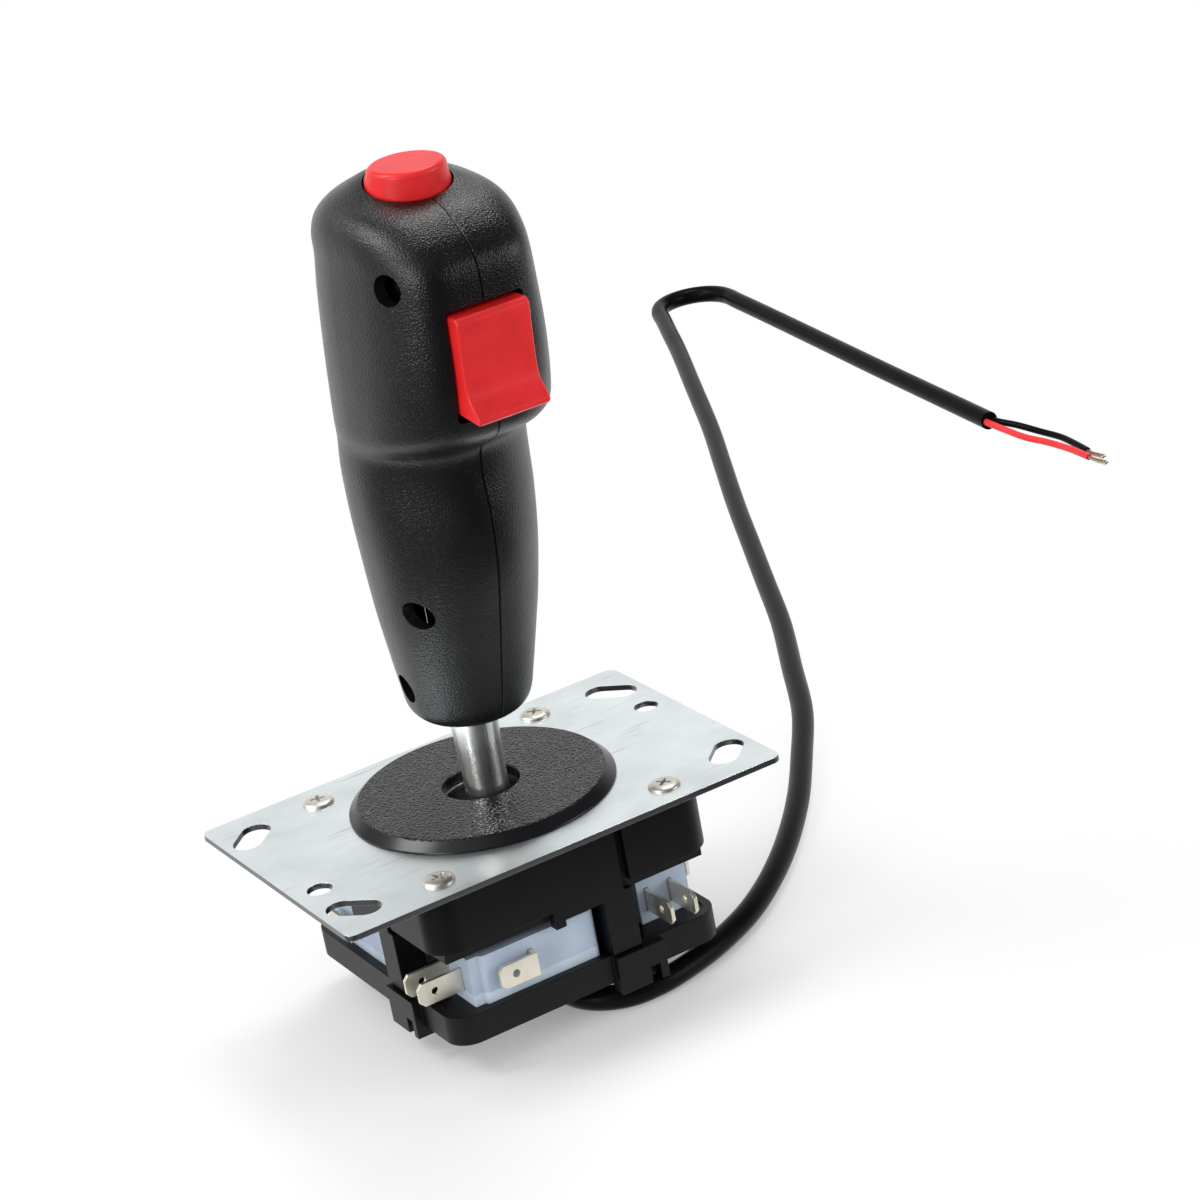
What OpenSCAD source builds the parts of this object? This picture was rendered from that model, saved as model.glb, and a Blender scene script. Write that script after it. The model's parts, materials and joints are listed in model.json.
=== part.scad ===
// Arcade flight joystick: a pistol grip with a trigger and a thumb button, on a hollow
// ball-pivot shaft over a square base that holds four snap switches in a pinwheel.
// The origin is on the shaft's axis where the base stands; the trigger faces -Y.

/* [Mounting plate] */
// Length of the plate
plate_l = 97; // [92:1:110]
// Width of the plate
plate_w = 65; // [64:1:76]
// Thickness of the plate
plate_t = 1.2; // [1:0.1:2]
// Radius of the plate's corners
plate_corner_r = 2; // [1:0.5:6]
// Diameter of the hole that the shaft passes through
plate_hole_d = 18; // [16:0.5:20]
// Width of the four slanted corner slots
slot_w = 6; // [4.5:0.1:6.5]
// Length of the straight sides of a corner slot
slot_straight = 5; // [3:0.1:7]
// Distance from the plate's end to the middle of a corner slot
slot_inset_x = 6.5; // [6:0.1:7.5]
// Distance from the plate's long edge to the middle of a corner slot
slot_inset_y = 10.3; // [9:0.1:11]
// Diameter of the two round fixing holes
fix_hole_d = 5; // [3:0.1:5.2]
// Distance from the plate's end to a round fixing hole
fix_hole_inset = 5.5; // [4.5:0.1:6]
// Distance of a round fixing hole from the plate's long centre line
fix_hole_off = 9.8; // [8:0.1:10]

/* [Screws] */
// Spacing of the four plate screws, both ways
screw_pitch = 50.8; // [49:0.2:51.4]
// Diameter of a plate screw's shank
screw_d = 3; // [2.5:0.1:3.4]
// Diameter of a plate screw's head
screw_head_d = 6.4; // [5.6:0.1:7]
// Height of a plate screw's domed head
screw_head_h = 1; // [0.8:0.1:2]
// Length of a plate screw's shank
screw_l = 9; // [6:0.5:10]
// Diameter of a grip screw's shank
grip_screw_d = 2.8; // [2.2:0.1:3]
// Diameter of a grip screw's head
grip_screw_head_d = 5.2; // [4.6:0.1:5.6]
// Diameter of the two set screws that hold the grip on its shaft
set_screw_d = 4; // [3:0.1:4.4]
// Length of a set screw
set_screw_l = 5; // [4:0.2:5.4]

/* [Base] */
// Width of the square housing
housing_w = 62.4; // [61.6:0.2:64]
// Height of the housing
housing_h = 14.2; // [13.5:0.1:16]
// Radius of the housing's upright corners
housing_r = 6; // [4:0.5:7]
// Thickness of the housing's outer wall
housing_wall = 2.6; // [2:0.1:3]
// Thickness of the housing's floor
web_t = 3.2; // [3:0.1:3.6]
// Width of a post that joins the housing to the tray
post_w = 6.5; // [5:0.1:6.6]
// Depth of a post from the housing's face
post_d = 6; // [4:0.1:6.2]
// Width of the square tray
tray_w = 60.8; // [60:0.2:61.6]
// Height of the tray's rim
tray_h = 6; // [5:0.1:7]
// Thickness of the tray's floor
tray_floor_t = 3; // [2:0.1:4]
// Height of the collar that the base stands on, below the tray
stand_h = 7.4; // [7:0.1:10]
// Width of the standing collar
stand_w = 30; // [29:0.5:32]
// Height of the gate wall above the tray's floor
gate_h = 2.8; // [1.5:0.1:3]
// Thickness of the gate wall
gate_wall = 1.2; // [0.8:0.1:1.3]

/* [Snap switches] */
// Length of a switch's case
switch_l = 27.8; // [27.4:0.1:28]
// Height of a switch's case, from its back to the plunger side
switch_h = 15.9; // [15.6:0.1:16]
// Thickness of a switch
switch_t = 10.3; // [10:0.1:11]
// Thickness of a switch's cover
switch_cover_t = 2.4; // [1.5:0.1:2.8]
// Thickness of a switch's walls
switch_wall = 1.4; // [1:0.1:1.8]
// Distance of a switch's back from the shaft's axis
switch_face = 28.4; // [28.2:0.1:28.9]
// Distance of a switch's terminal end from the middle of its side
switch_reach = 24; // [23.8:0.1:24.6]
// Diameter of a switch's mounting holes
switch_hole_d = 3.1; // [2.6:0.1:3.4]
// Diameter of a switch's plunger
plunger_d = 3.1; // [2.4:0.1:3.4]
// How far a plunger stands out of its case at rest
plunger_out = 2.2; // [2:0.1:2.3]
// Width of a terminal tab
tab_w = 4.8; // [4:0.1:5]
// Thickness of a terminal tab
tab_t = 0.8; // [0.5:0.1:0.9]
// Length of a terminal tab outside its case
tab_l = 9.6; // [7.5:0.1:10]
// Diameter of the hole in a terminal tab
tab_hole_d = 1.6; // [1.2:0.1:1.8]

/* [Stick] */
// Diameter of the shaft through the base
shaft_d = 8.7; // [8.2:0.1:9]
// Diameter of the shaft in the grip
shaft_top_d = 9.8; // [9.4:0.1:10.4]
// Diameter of the shaft's bore, which the cable passes through
shaft_bore_d = 5.6; // [5.4:0.1:6]
// Length of shaft that shows between the plate and the grip
shaft_show = 19.2; // [17:0.1:24]
// Length of shaft inside the grip
shaft_in_grip = 40; // [38:0.5:46]
// Diameter of the pivot ball
ball_d = 14; // [13:0.1:14.4]
// Depth of the pivot below the plate's underside
pivot_depth = 5.2; // [5:0.1:5.6]
// Diameter of the pivot's seat and cap
seat_d = 22; // [20:0.2:23]
// Diameter of the actuator that presses the plungers
actuator_d = 16.8; // [15.5:0.1:17]
// Diameter of the actuator's skirt, which meets the gate
skirt_d = 14.8; // [13.6:0.1:15.2]
// Diameter of the loose dust washer
washer_d = 53.6; // [48:0.2:56]
// Diameter of the dust washer's hole
washer_hole_d = 15.4; // [15.4:0.1:17]
// Thickness of the dust washer
washer_t = 2.2; // [2:0.1:4]
// How far the dust washer lies off the shaft's axis, towards -X
washer_off_x = 0.2; // [0:0.1:0.3]
// How far the dust washer lies off the shaft's axis, towards the back
washer_off_y = 2.1; // [0:0.1:2.2]

/* [Grip] */
// Thickness of the grip's shells
grip_wall = 2.2; // [1.8:0.1:2.6]
// Diameter of the screw holes in the left shell
grip_hole_d = 6; // [5.7:0.1:6.4]
// Diameter of the thumb button
button_d = 15.8; // [14.6:0.1:16.4]
// Height of the middle of the thumb button above the grip
button_h = 3.4; // [2.8:0.1:4]
// Slope of the thumb button's top against its axis, higher at the front
button_slant = 16; // [8:1:18]
// Travel of the thumb button
button_travel = 1.8; // [1:0.1:2]
// Width of the trigger
trigger_w = 15; // [14:0.1:16]
// Diameter of the trigger's pin
trigger_pin_d = 3; // [2.4:0.1:3.2]
// Length of a grip switch's case
mini_l = 20; // [18:0.1:20.4]
// Height of a grip switch's case
mini_h = 10; // [9:0.1:10.2]
// Thickness of a grip switch's case
mini_t = 6.4; // [5.4:0.1:7]
// Diameter of a grip switch's plunger
mini_plunger_d = 2.4; // [1.8:0.1:2.8]

/* [Cable] */
// Diameter of the cable's sheath
cable_d = 5; // [4.4:0.1:5.2]
// Diameter of an insulated lead
lead_d = 1.8; // [1.4:0.1:2]
// Diameter of the bare strands
strand_d = 1; // [0.6:0.1:1.2]

/* [Clearances] */
// Gap around a part that slides or turns in a hole
run_gap = 0.07; // [0.04:0.01:0.1]
// Gap around a part that is dropped into a hole or slit
fit_gap = 0.1; // [0.05:0.01:0.15]
// Gap between pieces that pass each other
pass_gap = 0.35; // [0.25:0.05:0.4]

/* [Hidden] */
$fn = 48;

// Sides of the base, as quarter turns from the trigger side
FRONT = 0;
LEFT = 1;
BACK = 2;
RIGHT = 3;

// Colours of the materials
c_zinc = "#d5dcdd";
c_nickel = "#c9c7be";
c_black = "#1d1e20";
c_washer = "#2a2b2d";
c_switch = "#93a5bd";
c_cover = "#8799b2";
c_plunger = "#e9e4d8";
c_nylon = "#e4e1d6";
c_steel = "#c4c8cb";
c_red = "#d8262c";
c_copper = "#b9744a";

// Levels of the base, from where it stands
z_tray = stand_h;
z_rim = z_tray + tray_h;
switch_seat = 0.3;
z_switch = z_rim - switch_seat;
switch_headroom = 1.6;
z_housing = z_switch + switch_t + switch_headroom;
z_plate = z_housing + housing_h;
z_top = z_plate + plate_t;
z_web = z_housing + web_t;
z_pivot = z_plate - pivot_depth;

// Plunger of a base switch: along its case, and up from its cover
plunger_along = 20.5;
plunger_level = 6.2;
z_plunger = z_switch + plunger_level;
plunger_in = 3.4;

// Actuator and shaft end
tilt = 10;
actuator_above = 1.6;
actuator_drum = 4.2;
z_drum_top = z_plunger + actuator_above;
z_drum = z_drum_top - actuator_drum;
skirt_h = 2.9;
z_skirt = z_drum - skirt_h;
clip_t = 0.8;
clip_groove = 0.7;
z_clip = z_skirt + 0.5;
shaft_tail = 1.7;
z_shaft = z_clip - shaft_tail;
skirt_room = 1.4;
skirt_bore = shaft_d / 2 + 1.7;
skirt_swing = skirt_d / 2 * cos(tilt) + (z_pivot - z_skirt) * sin(tilt);
gate_half = skirt_swing + pass_gap;

// Grip levels
z_grip = z_top + shaft_show;
z_shaft_top = z_grip + shaft_in_grip;
button_y = -18.5;
button_tilt = 18;
button_rise = tan(button_tilt);
grip_top = 110.6;
z_button = z_grip + grip_top;

// Grip stations: height, reach to the front, reach to the back, half width, squareness of
// the front, how much the front is narrowed, and rise to the back
grip_stations = [
    [0.3, 5.4, 5.4, 5.4, 2, 0, 0],
    [0, 7.8, 7.8, 7.4, 2, 0, 0],
    [0.7, 11.5, 10.2, 9.8, 2, 0, 0],
    [3, 13.7, 11.9, 11.7, 2.05, 0.02, 0],
    [8, 15.7, 12.6, 12.6, 2.1, 0.04, 0],
    [16.5, 18.4, 12.5, 14, 2.1, 0.06, 0],
    [25, 21.1, 12.3, 15.3, 2.15, 0.12, 0],
    [36, 24.4, 12.2, 16.4, 2.2, 0.2, 0],
    [46, 25.7, 11.6, 17.2, 2.2, 0.24, 0],
    [55, 25.6, 10.6, 17.5, 2.25, 0.24, 0],
    [60, 26.6, 9.9, 17.4, 2.3, 0.2, 0],
    [62.4, 30.2, 9.6, 17.7, 2.6, 0.2, 0],
    [65, 34.8, 9.3, 18.3, 3.2, 0.24, 0],
    [69, 36.8, 9, 18.4, 4.2, 0.27, 0],
    [80, 38.6, 8, 18.1, 5.4, 0.28, 0],
    [91, 39.6, 6.8, 17.5, 5.8, 0.29, 0],
    [98, 39.8, 5.6, 16.9, 5.8, 0.28, 0],
    [grip_top - 8.6, 37.7, 4.8, 16.7, 5.2, 0.24, 0.015],
    [grip_top - 5.5, 34.8, 2.4, 15.9, 4.2, 0.17, 0.04],
    [grip_top - 3, 31, -1.2, 13.8, 3.2, 0.05, 0.06],
    [grip_top - 1.4, 27.2, -5.8, 10.6, 2.5, 0.02, 0.13],
    [grip_top - 0.4, 24.8, -9.6, 8.1, 2, 0, 0.23],
    [grip_top, 24, -13, 6.4, 2, 0, button_rise]
];
grip_back_squareness = 2.3;
grip_steps = 2;
grip_sides = 18;

// Grip fixings, from the grip's bottom: forward reach and height
top_screw = [-32, 96.2];
mid_screw = [-13.5, 27.9];
set_screw_h = 8.6;
shaft_rest_h = 34;
boss_r = 4.4;
screw_seat = 7;
grip_screw_bite = 8;
grip_screw_head_h = 2.2;

// Trigger: places on its side view, forward reach and height above the grip's bottom
trigger_top = 90.4;
trigger_foot = 70.4;
trigger_pivot = [-34.5, 86.9];
trigger_lip = 43.8;
trigger_back = 31;
trigger_slot_w = 6;
trigger_pin_l = 23;
pin_boss_r = 3;

// Grip switches: the trigger's stands upright, the button's lies under the button
mini_wall = 1;
mini_plunger_out = 2.2;
mini_plunger_in = 2;
mini_hole_d = 2.2;
mini_tab = [0.5, 3.2, 4.2];
trigger_plunger_h = trigger_foot + 4;
z_trigger_switch = z_grip + trigger_plunger_h - mini_l / 2;
trigger_switch_y = -(trigger_back - 0.15 - mini_plunger_out);

// Thumb button, in its own frame, which leans to the front: distances down from the grip's top
button_gap = 0.4;
collar_depth = 4;
collar_t = 1.6;
flange_t = 1.6;
flange_d = button_d + 2.4;
flange_depth = collar_depth + 0.2;
stem_d = 6.4;
shelf_depth = 9.8;
shelf_t = 1.4;
shelf_half = 14.2;
shelf_y = 16;
top_switch_depth = shelf_depth + shelf_t + 1.7;
stem_depth = top_switch_depth - mini_plunger_out - 0.15;
top_switch_off = 1.5;

// Cable: route of its sheath and leads on the surface that the base stands on
cable_floor = cable_d / 2;
cable_route = [
    [0, 0, 11.9], [0, -0.46, 9], [0, -1.8, 6.4], [0, -3.9, 4.3], [0, -6.6, 3], [0, -9.7, cable_floor],
    [0, -13.4, cable_floor], [0, -17, cable_floor], [0.9, -21.6, cable_floor], [3.5, -25.5, cable_floor],
    [7.4, -28.1, cable_floor], [12, -29, cable_floor], [19.5, -28.2, cable_floor],
    [32, -24, cable_floor], [46, -16, cable_floor], [62, -2, cable_floor], [78, 16, cable_floor],
    [92, 35, cable_floor], [105, 54, cable_floor], [117, 76, cable_floor], [130, 100, cable_floor],
    [142, 125, cable_floor], [154, 150, cable_floor], [166, 175, cable_floor],
    [180, 203, cable_floor], [194, 231, cable_floor], [209, 263, cable_floor],
    [224, 295, cable_floor], [232.6, 314.4, cable_floor], [237.6, 325.6, cable_floor],
    [240.3, 332, cable_floor], [243.5, 336.2, cable_floor], [248.3, 338.5, cable_floor],
    [253.6, 338.3, cable_floor], [258.1, 335.8, cable_floor], [261, 331.4, cable_floor],
    [261.7, 326.1, cable_floor], [260.9, 319.8, cable_floor], [259.6, 308, cable_floor],
    [256.6, 283, cable_floor], [253, 254, cable_floor], [249.4, 225, cable_floor],
    [246, 196, cable_floor], [242.6, 167, cable_floor]
];
cable_entry_points = 6;
cable_steps = 2;
cable_sides = 10;
lead_floor = lead_d / 2;
lead_spread = 1.1;
lead_red_route = [
    [242.6 - lead_spread, 166.85, cable_floor], [241.5, 164, 2.3], [242.2, 159, 1.6], [243, 152, lead_floor],
    [244.2, 144, lead_floor], [244.6, 135, lead_floor], [244, 126, lead_floor]
];
lead_black_route = [
    [242.6 + lead_spread, 166.85, cable_floor], [243.9, 164, 2.4], [246, 159, 1.8], [248, 152, lead_floor],
    [248.6, 144, lead_floor], [247.8, 137, lead_floor], [246.6, 130, lead_floor]
];
strand_floor = lead_floor;
strand_red_route = [[244, 126, strand_floor], [243.8, 123, strand_floor], [244.2, 119, strand_floor]];
strand_black_route = [[246.6, 130, strand_floor], [246.2, 127, strand_floor], [246.6, 123, strand_floor]];

// Wires in the grip, from the top of the cable to the switch tabs
wire_rise = 7;
wire_bend = 6;
wire_end = 0.4;
wire_step = 2.4;
wire_y = trigger_switch_y + mini_h + mini_tab[2];
z_cable_top = z_shaft_top + 2;

// Smooth curve through a list of points
function blend_points(a, b, c, d, t) =
    0.5 * (2 * b + (c - a) * t + (2 * a - 5 * b + 4 * c - d) * t * t + (3 * b - a - 3 * c + d) * t * t * t);
function smooth_points(p, steps) = [
    for (i = [0 : len(p) - 2])
        for (k = [0 : steps - 1])
            blend_points(p[max(i - 1, 0)], p[i], p[i + 1], p[min(i + 2, len(p) - 1)], k / steps),
    p[len(p) - 1]
];
function unit(v) = v / norm(v);
function tangent(p, i) = unit(p[min(i + 1, len(p) - 1)] - p[max(i - 1, 0)]);
function across(v, t) = unit(v - (v * t) * t);

// Round tube along a list of points, or from one of them to another, with a start direction
// that is square to its first stretch
module tube(points, d, sides, start, begin = 0, end = undef) {
    stop = is_undef(end) ? len(points) - 1 : end;
    n = stop - begin + 1;
    frames = [
        for (i = begin, v = across(start, tangent(points, begin)); i <= stop;
             i = i + 1, v = i <= stop ? across(v, tangent(points, i)) : v)
            [v, cross(tangent(points, i), v)]
    ];
    rings = [
        for (i = [0 : n - 1])
            for (j = [0 : sides - 1])
                let (turn = 360 * j / sides)
                    points[begin + i] + d / 2 * (cos(turn) * frames[i][0] + sin(turn) * frames[i][1])
    ];
    skin = [
        for (i = [0 : n - 2])
            for (j = [0 : sides - 1])
                let (a = i * sides + j, b = i * sides + (j + 1) % sides)
                    each [[a, a + sides, b + sides], [a, b + sides, b]]
    ];
    first = [for (j = [0 : sides - 1]) j];
    last = [for (j = [sides - 1 : -1 : 0]) (n - 1) * sides + j];
    polyhedron(concat(rings, []), concat(skin, [first, last]), convexity = 8);
}

// Coil spring along Z, with its ends at the two radii
module coil(bottom_r, top_r, wire, height, turns, steps_per_turn = 14) {
    steps = turns * steps_per_turn;
    path = [
        for (i = [0 : steps])
            let (s = i / steps, r = bottom_r + (top_r - bottom_r) * s, turn = 360 * turns * s)
                [r * cos(turn), r * sin(turn), wire / 2 + (height - wire) * s]
    ];
    tube(path, wire, 8, [0, 0, 1]);
}

// Rectangle with round corners, and an obround slot, both centred
module round_rect(l, w, r) {
    square([l - 2 * r, w], center = true);
    square([l, w - 2 * r], center = true);
    for (x = [-1, 1], y = [-1, 1])
        translate([x * (l / 2 - r), y * (w / 2 - r)]) circle(r);
}
module slot(straight, w) {
    square([straight, w], center = true);
    for (x = [-1, 1])
        translate([x * straight / 2, 0]) circle(d = w);
}

// Places children on one side of the base, which repeats by quarter turns
module on_side(side) {
    rotate(-90 * side) children();
}
// Places children at the four plate screws
module at_screws() {
    for (x = [-1, 1], y = [-1, 1])
        translate([x * screw_pitch / 2, y * screw_pitch / 2, 0]) children();
}
// Cylinder along X between two places
module rod_x(d, x0, x1) {
    translate([x0, 0, 0]) rotate([0, 90, 0]) cylinder(d = d, h = x1 - x0);
}

module mounting_plate() {
    color(c_zinc) translate([0, 0, z_plate]) difference() {
        linear_extrude(plate_t) difference() {
            round_rect(plate_l, plate_w, plate_corner_r);
            for (x = [-1, 1], y = [-1, 1])
                translate([x * (plate_l / 2 - slot_inset_x), y * (plate_w / 2 - slot_inset_y)])
                    rotate(-45 * x * y) slot(slot_straight, slot_w);
        }
        translate([0, 0, -1]) cylinder(d = plate_hole_d, h = plate_t + 2);
        for (s = [-1, 1])
            translate([s * (plate_l / 2 - fix_hole_inset), s * fix_hole_off, -1])
                cylinder(d = fix_hole_d, h = plate_t + 2);
        translate([0, 0, -1]) at_screws() cylinder(d = screw_d + 2 * fit_gap, h = plate_t + 2);
    }
}

module plate_screws() {
    cross_w = 0.9;
    cross_l = 0.62 * screw_head_d;
    color(c_nickel) translate([0, 0, z_top]) at_screws() difference() {
        union() {
            intersection() {
                cylinder(d = screw_head_d, h = screw_head_h);
                dome_r = (screw_head_d * screw_head_d / 4 + screw_head_h * screw_head_h) / 2 / screw_head_h;
                translate([0, 0, screw_head_h - dome_r]) sphere(dome_r);
            }
            translate([0, 0, -screw_l]) cylinder(d = screw_d, h = screw_l);
        }
        for (turn = [20, 110])
            translate([0, 0, screw_head_h]) rotate(turn)
                cube([cross_l, cross_w, screw_head_h * 1.2], center = true);
    }
}

module upper_housing() {
    core_d = seat_d + 5;
    boss_d = 8;
    recess_d = 2.2;
    recess_h = 2.3;
    recess_x = -6;
    groove = [1.8, 1.6];
    nub_w = 2.4;
    nub_drop = 1.4;
    color(c_black) {
        difference() {
            union() {
                translate([0, 0, z_housing]) linear_extrude(housing_h) difference() {
                    round_rect(housing_w, housing_w, housing_r);
                    round_rect(housing_w - 2 * housing_wall, housing_w - 2 * housing_wall, housing_r - housing_wall);
                }
                translate([0, 0, z_housing]) linear_extrude(web_t)
                    round_rect(housing_w - 1, housing_w - 1, housing_r - 0.5);
                translate([0, 0, z_housing]) cylinder(d = core_d, h = housing_h);
                translate([0, 0, z_housing]) at_screws() cylinder(d = boss_d, h = housing_h);
                for (turn = [0 : 90 : 270]) rotate(turn)
                    translate([core_d / 2 - 1, -1, z_housing]) cube([housing_w / 2 - core_d / 2 - 0.5, 2, housing_h]);
            }
            translate([0, 0, z_web]) cylinder(d = seat_d + 2 * fit_gap, h = housing_h);
            translate([0, 0, z_housing - 1]) cylinder(d = shaft_d + 5, h = housing_h);
            translate([0, 0, z_housing - 1]) cylinder(d = spring_pocket_d, h = 1 + spring_pocket_h);
            translate([0, 0, z_top - screw_l - 1]) at_screws() cylinder(d = screw_d + 2 * fit_gap, h = screw_l + 1);
            for (side = [FRONT : RIGHT]) on_side(side) {
                translate([-housing_w, -housing_w / 2 - 1, z_housing - 1])
                    cube([housing_w + recess_x, recess_d + 1, recess_h + 1]);
                translate([post_x + post_w, -housing_w / 2 - 1, z_housing - 1])
                    cube([housing_w, recess_d + 1, recess_h + 1]);
                translate([post_x + post_w - groove[0], -housing_w / 2 - 1, z_housing - 1])
                    cube([groove[0], groove[1] + 1, housing_h + 2]);
            }
        }
        for (side = [FRONT : RIGHT]) on_side(side) {
            translate([post_x, -housing_w / 2, z_rim]) cube([post_w, post_d, z_housing - z_rim + 1]);
            translate([recess_x, -housing_w / 2, z_housing - nub_drop])
                cube([nub_w, recess_d, nub_drop + recess_h]);
        }
    }
}
spring_pocket_d = 20;
spring_pocket_h = 2.4;
post_x = switch_l - switch_reach + 1.2;

module bottom_tray() {
    rim_w = tray_w / 2 - switch_face - fit_gap;
    floor_inset = 1;
    floor_bite = 0.5;
    // A clip grows from the rim, and from the floor's edge where the rim is thinner
    clip_root = max(rim_w, floor_inset + floor_bite);
    peg_h = 8;
    clip_d = 1.7;
    clip_w = 10.8;
    clip_drop = 2.4;
    clip_notch = [6.9, 2.2, 3.4];
    notch_w = cable_d + 2.2;
    notch_h = cable_d + 1.6;
    color(c_black) {
        difference() {
            union() {
                translate([0, 0, z_tray]) linear_extrude(tray_h) difference() {
                    round_rect(tray_w, tray_w, tray_r);
                    round_rect(tray_w - 2 * rim_w, tray_w - 2 * rim_w, tray_r - rim_w);
                }
                translate([0, 0, z_switch - tray_floor_t]) linear_extrude(tray_floor_t)
                    round_rect(tray_w - 2 * floor_inset, tray_w - 2 * floor_inset, tray_r - floor_inset);
                linear_extrude(z_switch - 0.5) round_rect(stand_w, stand_w, 3);
                translate([0, 0, z_switch - 1]) linear_extrude(gate_h + 1)
                    square(2 * (gate_half + gate_wall), center = true);
                for (side = [FRONT : RIGHT]) on_side(side) {
                    translate([post_x, -tray_w / 2 - clip_d, z_tray - clip_drop])
                        cube([clip_w, clip_d + clip_root, tray_h + clip_drop - 0.4]);
                    for (hole = switch_holes)
                        translate([hole[0] - switch_reach, hole[1] - switch_face, z_switch - 1])
                            cylinder(d = switch_hole_d - 2 * fit_gap, h = peg_h + 1);
                }
            }
            translate([0, 0, -1]) linear_extrude(z_rim + gate_h + 2) square(2 * gate_half, center = true);
            translate([-notch_w / 2, -stand_w, -1]) cube([notch_w, stand_w, notch_h + 1]);
            for (side = [FRONT : RIGHT]) on_side(side)
                translate([post_x + clip_notch[0], -tray_w, z_tray - clip_drop - 1])
                    cube([clip_notch[1], tray_w / 2 + 0.8, clip_notch[2] + 1]);
        }
    }
}
tray_r = 5;
switch_holes = [[25, 2.9], [3.4, 12.9]];

// Outline of a base switch, with its stepped terminal end
module switch_outline() {
    step = [2.2, 1, 3.4];
    r = 1.2;
    translate([step[0], 0]) translate([(switch_l - step[0]) / 2, switch_h / 2])
        round_rect(switch_l - step[0], switch_h, r);
    translate([0, step[1]]) square([step[0] + r + 0.5, switch_h - step[1] - step[2]]);
}
// Places children in a base switch's own frame: along its length from the terminal end,
// inwards from its back, and up from its cover
module in_switch(side) {
    on_side(side) translate([-switch_reach, -switch_face, z_switch]) children();
}
end_tabs = [4.6, 10];
end_tab_level = switch_cover_t + tab_w / 2 + fit_gap;
back_tab_level = end_tab_level + 0.4;
back_tab_x = 12.4;
back_tab_off = 1.6;
back_tab_l = tab_l - 1;

module switch_case(side) {
    inner_l = switch_l - 2 * switch_wall - 1;
    color(c_switch) in_switch(side) difference() {
        translate([0, 0, switch_cover_t]) linear_extrude(switch_t - switch_cover_t) switch_outline();
        difference() {
            translate([switch_wall + 1, switch_wall, 0])
                cube([inner_l, switch_h - 2 * switch_wall, switch_t - switch_wall]);
            for (hole = switch_holes)
                translate([hole[0], hole[1], -1]) cylinder(d = switch_hole_d + 2 * switch_wall, h = switch_t + 2);
        }
        for (hole = switch_holes)
            translate([hole[0], hole[1], -1]) cylinder(d = switch_hole_d, h = switch_t + 2);
        for (y = end_tabs)
            translate([-1, y - fit_gap, end_tab_level - tab_w / 2 - fit_gap])
                cube([switch_wall + 4, tab_t + 2 * fit_gap, tab_w + 2 * fit_gap]);
        translate([back_tab_x - fit_gap, -1, back_tab_level - tab_w / 2 - fit_gap])
            cube([tab_t + 2 * fit_gap, switch_wall + 2, tab_w + 2 * fit_gap]);
        translate([plunger_along, switch_h - switch_wall - 1, plunger_level]) rotate([-90, 0, 0])
            cylinder(d = plunger_d + 2 * run_gap, h = switch_wall + 2);
    }
}

module switch_cover(side) {
    color(c_cover) in_switch(side) difference() {
        linear_extrude(switch_cover_t) switch_outline();
        for (hole = switch_holes)
            translate([hole[0], hole[1], -1]) cylinder(d = switch_hole_d, h = switch_t);
    }
}

// Flat tab with a chamfered tip and a hole, along -X from its root
module tab_blade(l) {
    chamfer = 1;
    difference() {
        rotate([90, 0, 0]) translate([0, 0, -tab_t]) linear_extrude(tab_t) polygon([
            [0, -tab_w / 2], [0, tab_w / 2], [chamfer - l, tab_w / 2], [-l, tab_w / 2 - chamfer],
            [-l, chamfer - tab_w / 2], [chamfer - l, -tab_w / 2]
        ]);
        translate([-l + 3.6, -1, 0]) rotate([-90, 0, 0]) cylinder(d = tab_hole_d, h = tab_t + 2);
    }
}

module switch_tabs(side) {
    inside = switch_wall + 2;
    color(c_nickel) in_switch(side) {
        for (y = end_tabs)
            translate([inside, y, end_tab_level]) tab_blade(tab_l + inside);
        translate([back_tab_x + tab_t, -back_tab_off - tab_t, back_tab_level]) tab_blade(back_tab_l);
        translate([back_tab_x, -back_tab_off - tab_t / 2, back_tab_level - tab_w / 2])
            cube([tab_t, back_tab_off + tab_t / 2 + switch_wall + 0.6, tab_w]);
    }
}

module switch_plunger(side) {
    tip_r = plunger_d / 2;
    color(c_plunger) in_switch(side) translate([plunger_along, switch_h - plunger_in, plunger_level])
        rotate([-90, 0, 0]) {
            cylinder(d = plunger_d, h = plunger_in + plunger_out - tip_r);
            translate([0, 0, plunger_in + plunger_out - tip_r]) sphere(tip_r);
        }
}

ball_gap = 0.08;
module pivot_seat() {
    color(c_nylon) difference() {
        translate([0, 0, z_web]) cylinder(d = seat_d, h = z_pivot - z_web - fit_gap);
        translate([0, 0, z_pivot]) sphere(d = ball_d + 2 * ball_gap, $fn = 64);
        translate([0, 0, z_housing]) cylinder(d = shaft_d + 4, h = housing_h);
    }
}
module pivot_cap() {
    color(c_black) difference() {
        translate([0, 0, z_pivot + fit_gap]) cylinder(d = seat_d, h = pivot_depth - fit_gap);
        translate([0, 0, z_pivot]) sphere(d = ball_d + 2 * ball_gap, $fn = 64);
        translate([0, 0, z_pivot]) cylinder(d = shaft_d + 4, h = housing_h);
    }
}
module pivot_ball() {
    color(c_nylon) translate([0, 0, z_pivot]) difference() {
        sphere(d = ball_d, $fn = 64);
        cylinder(d = shaft_d + 2 * fit_gap, h = 2 * ball_d, center = true);
    }
}

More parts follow.
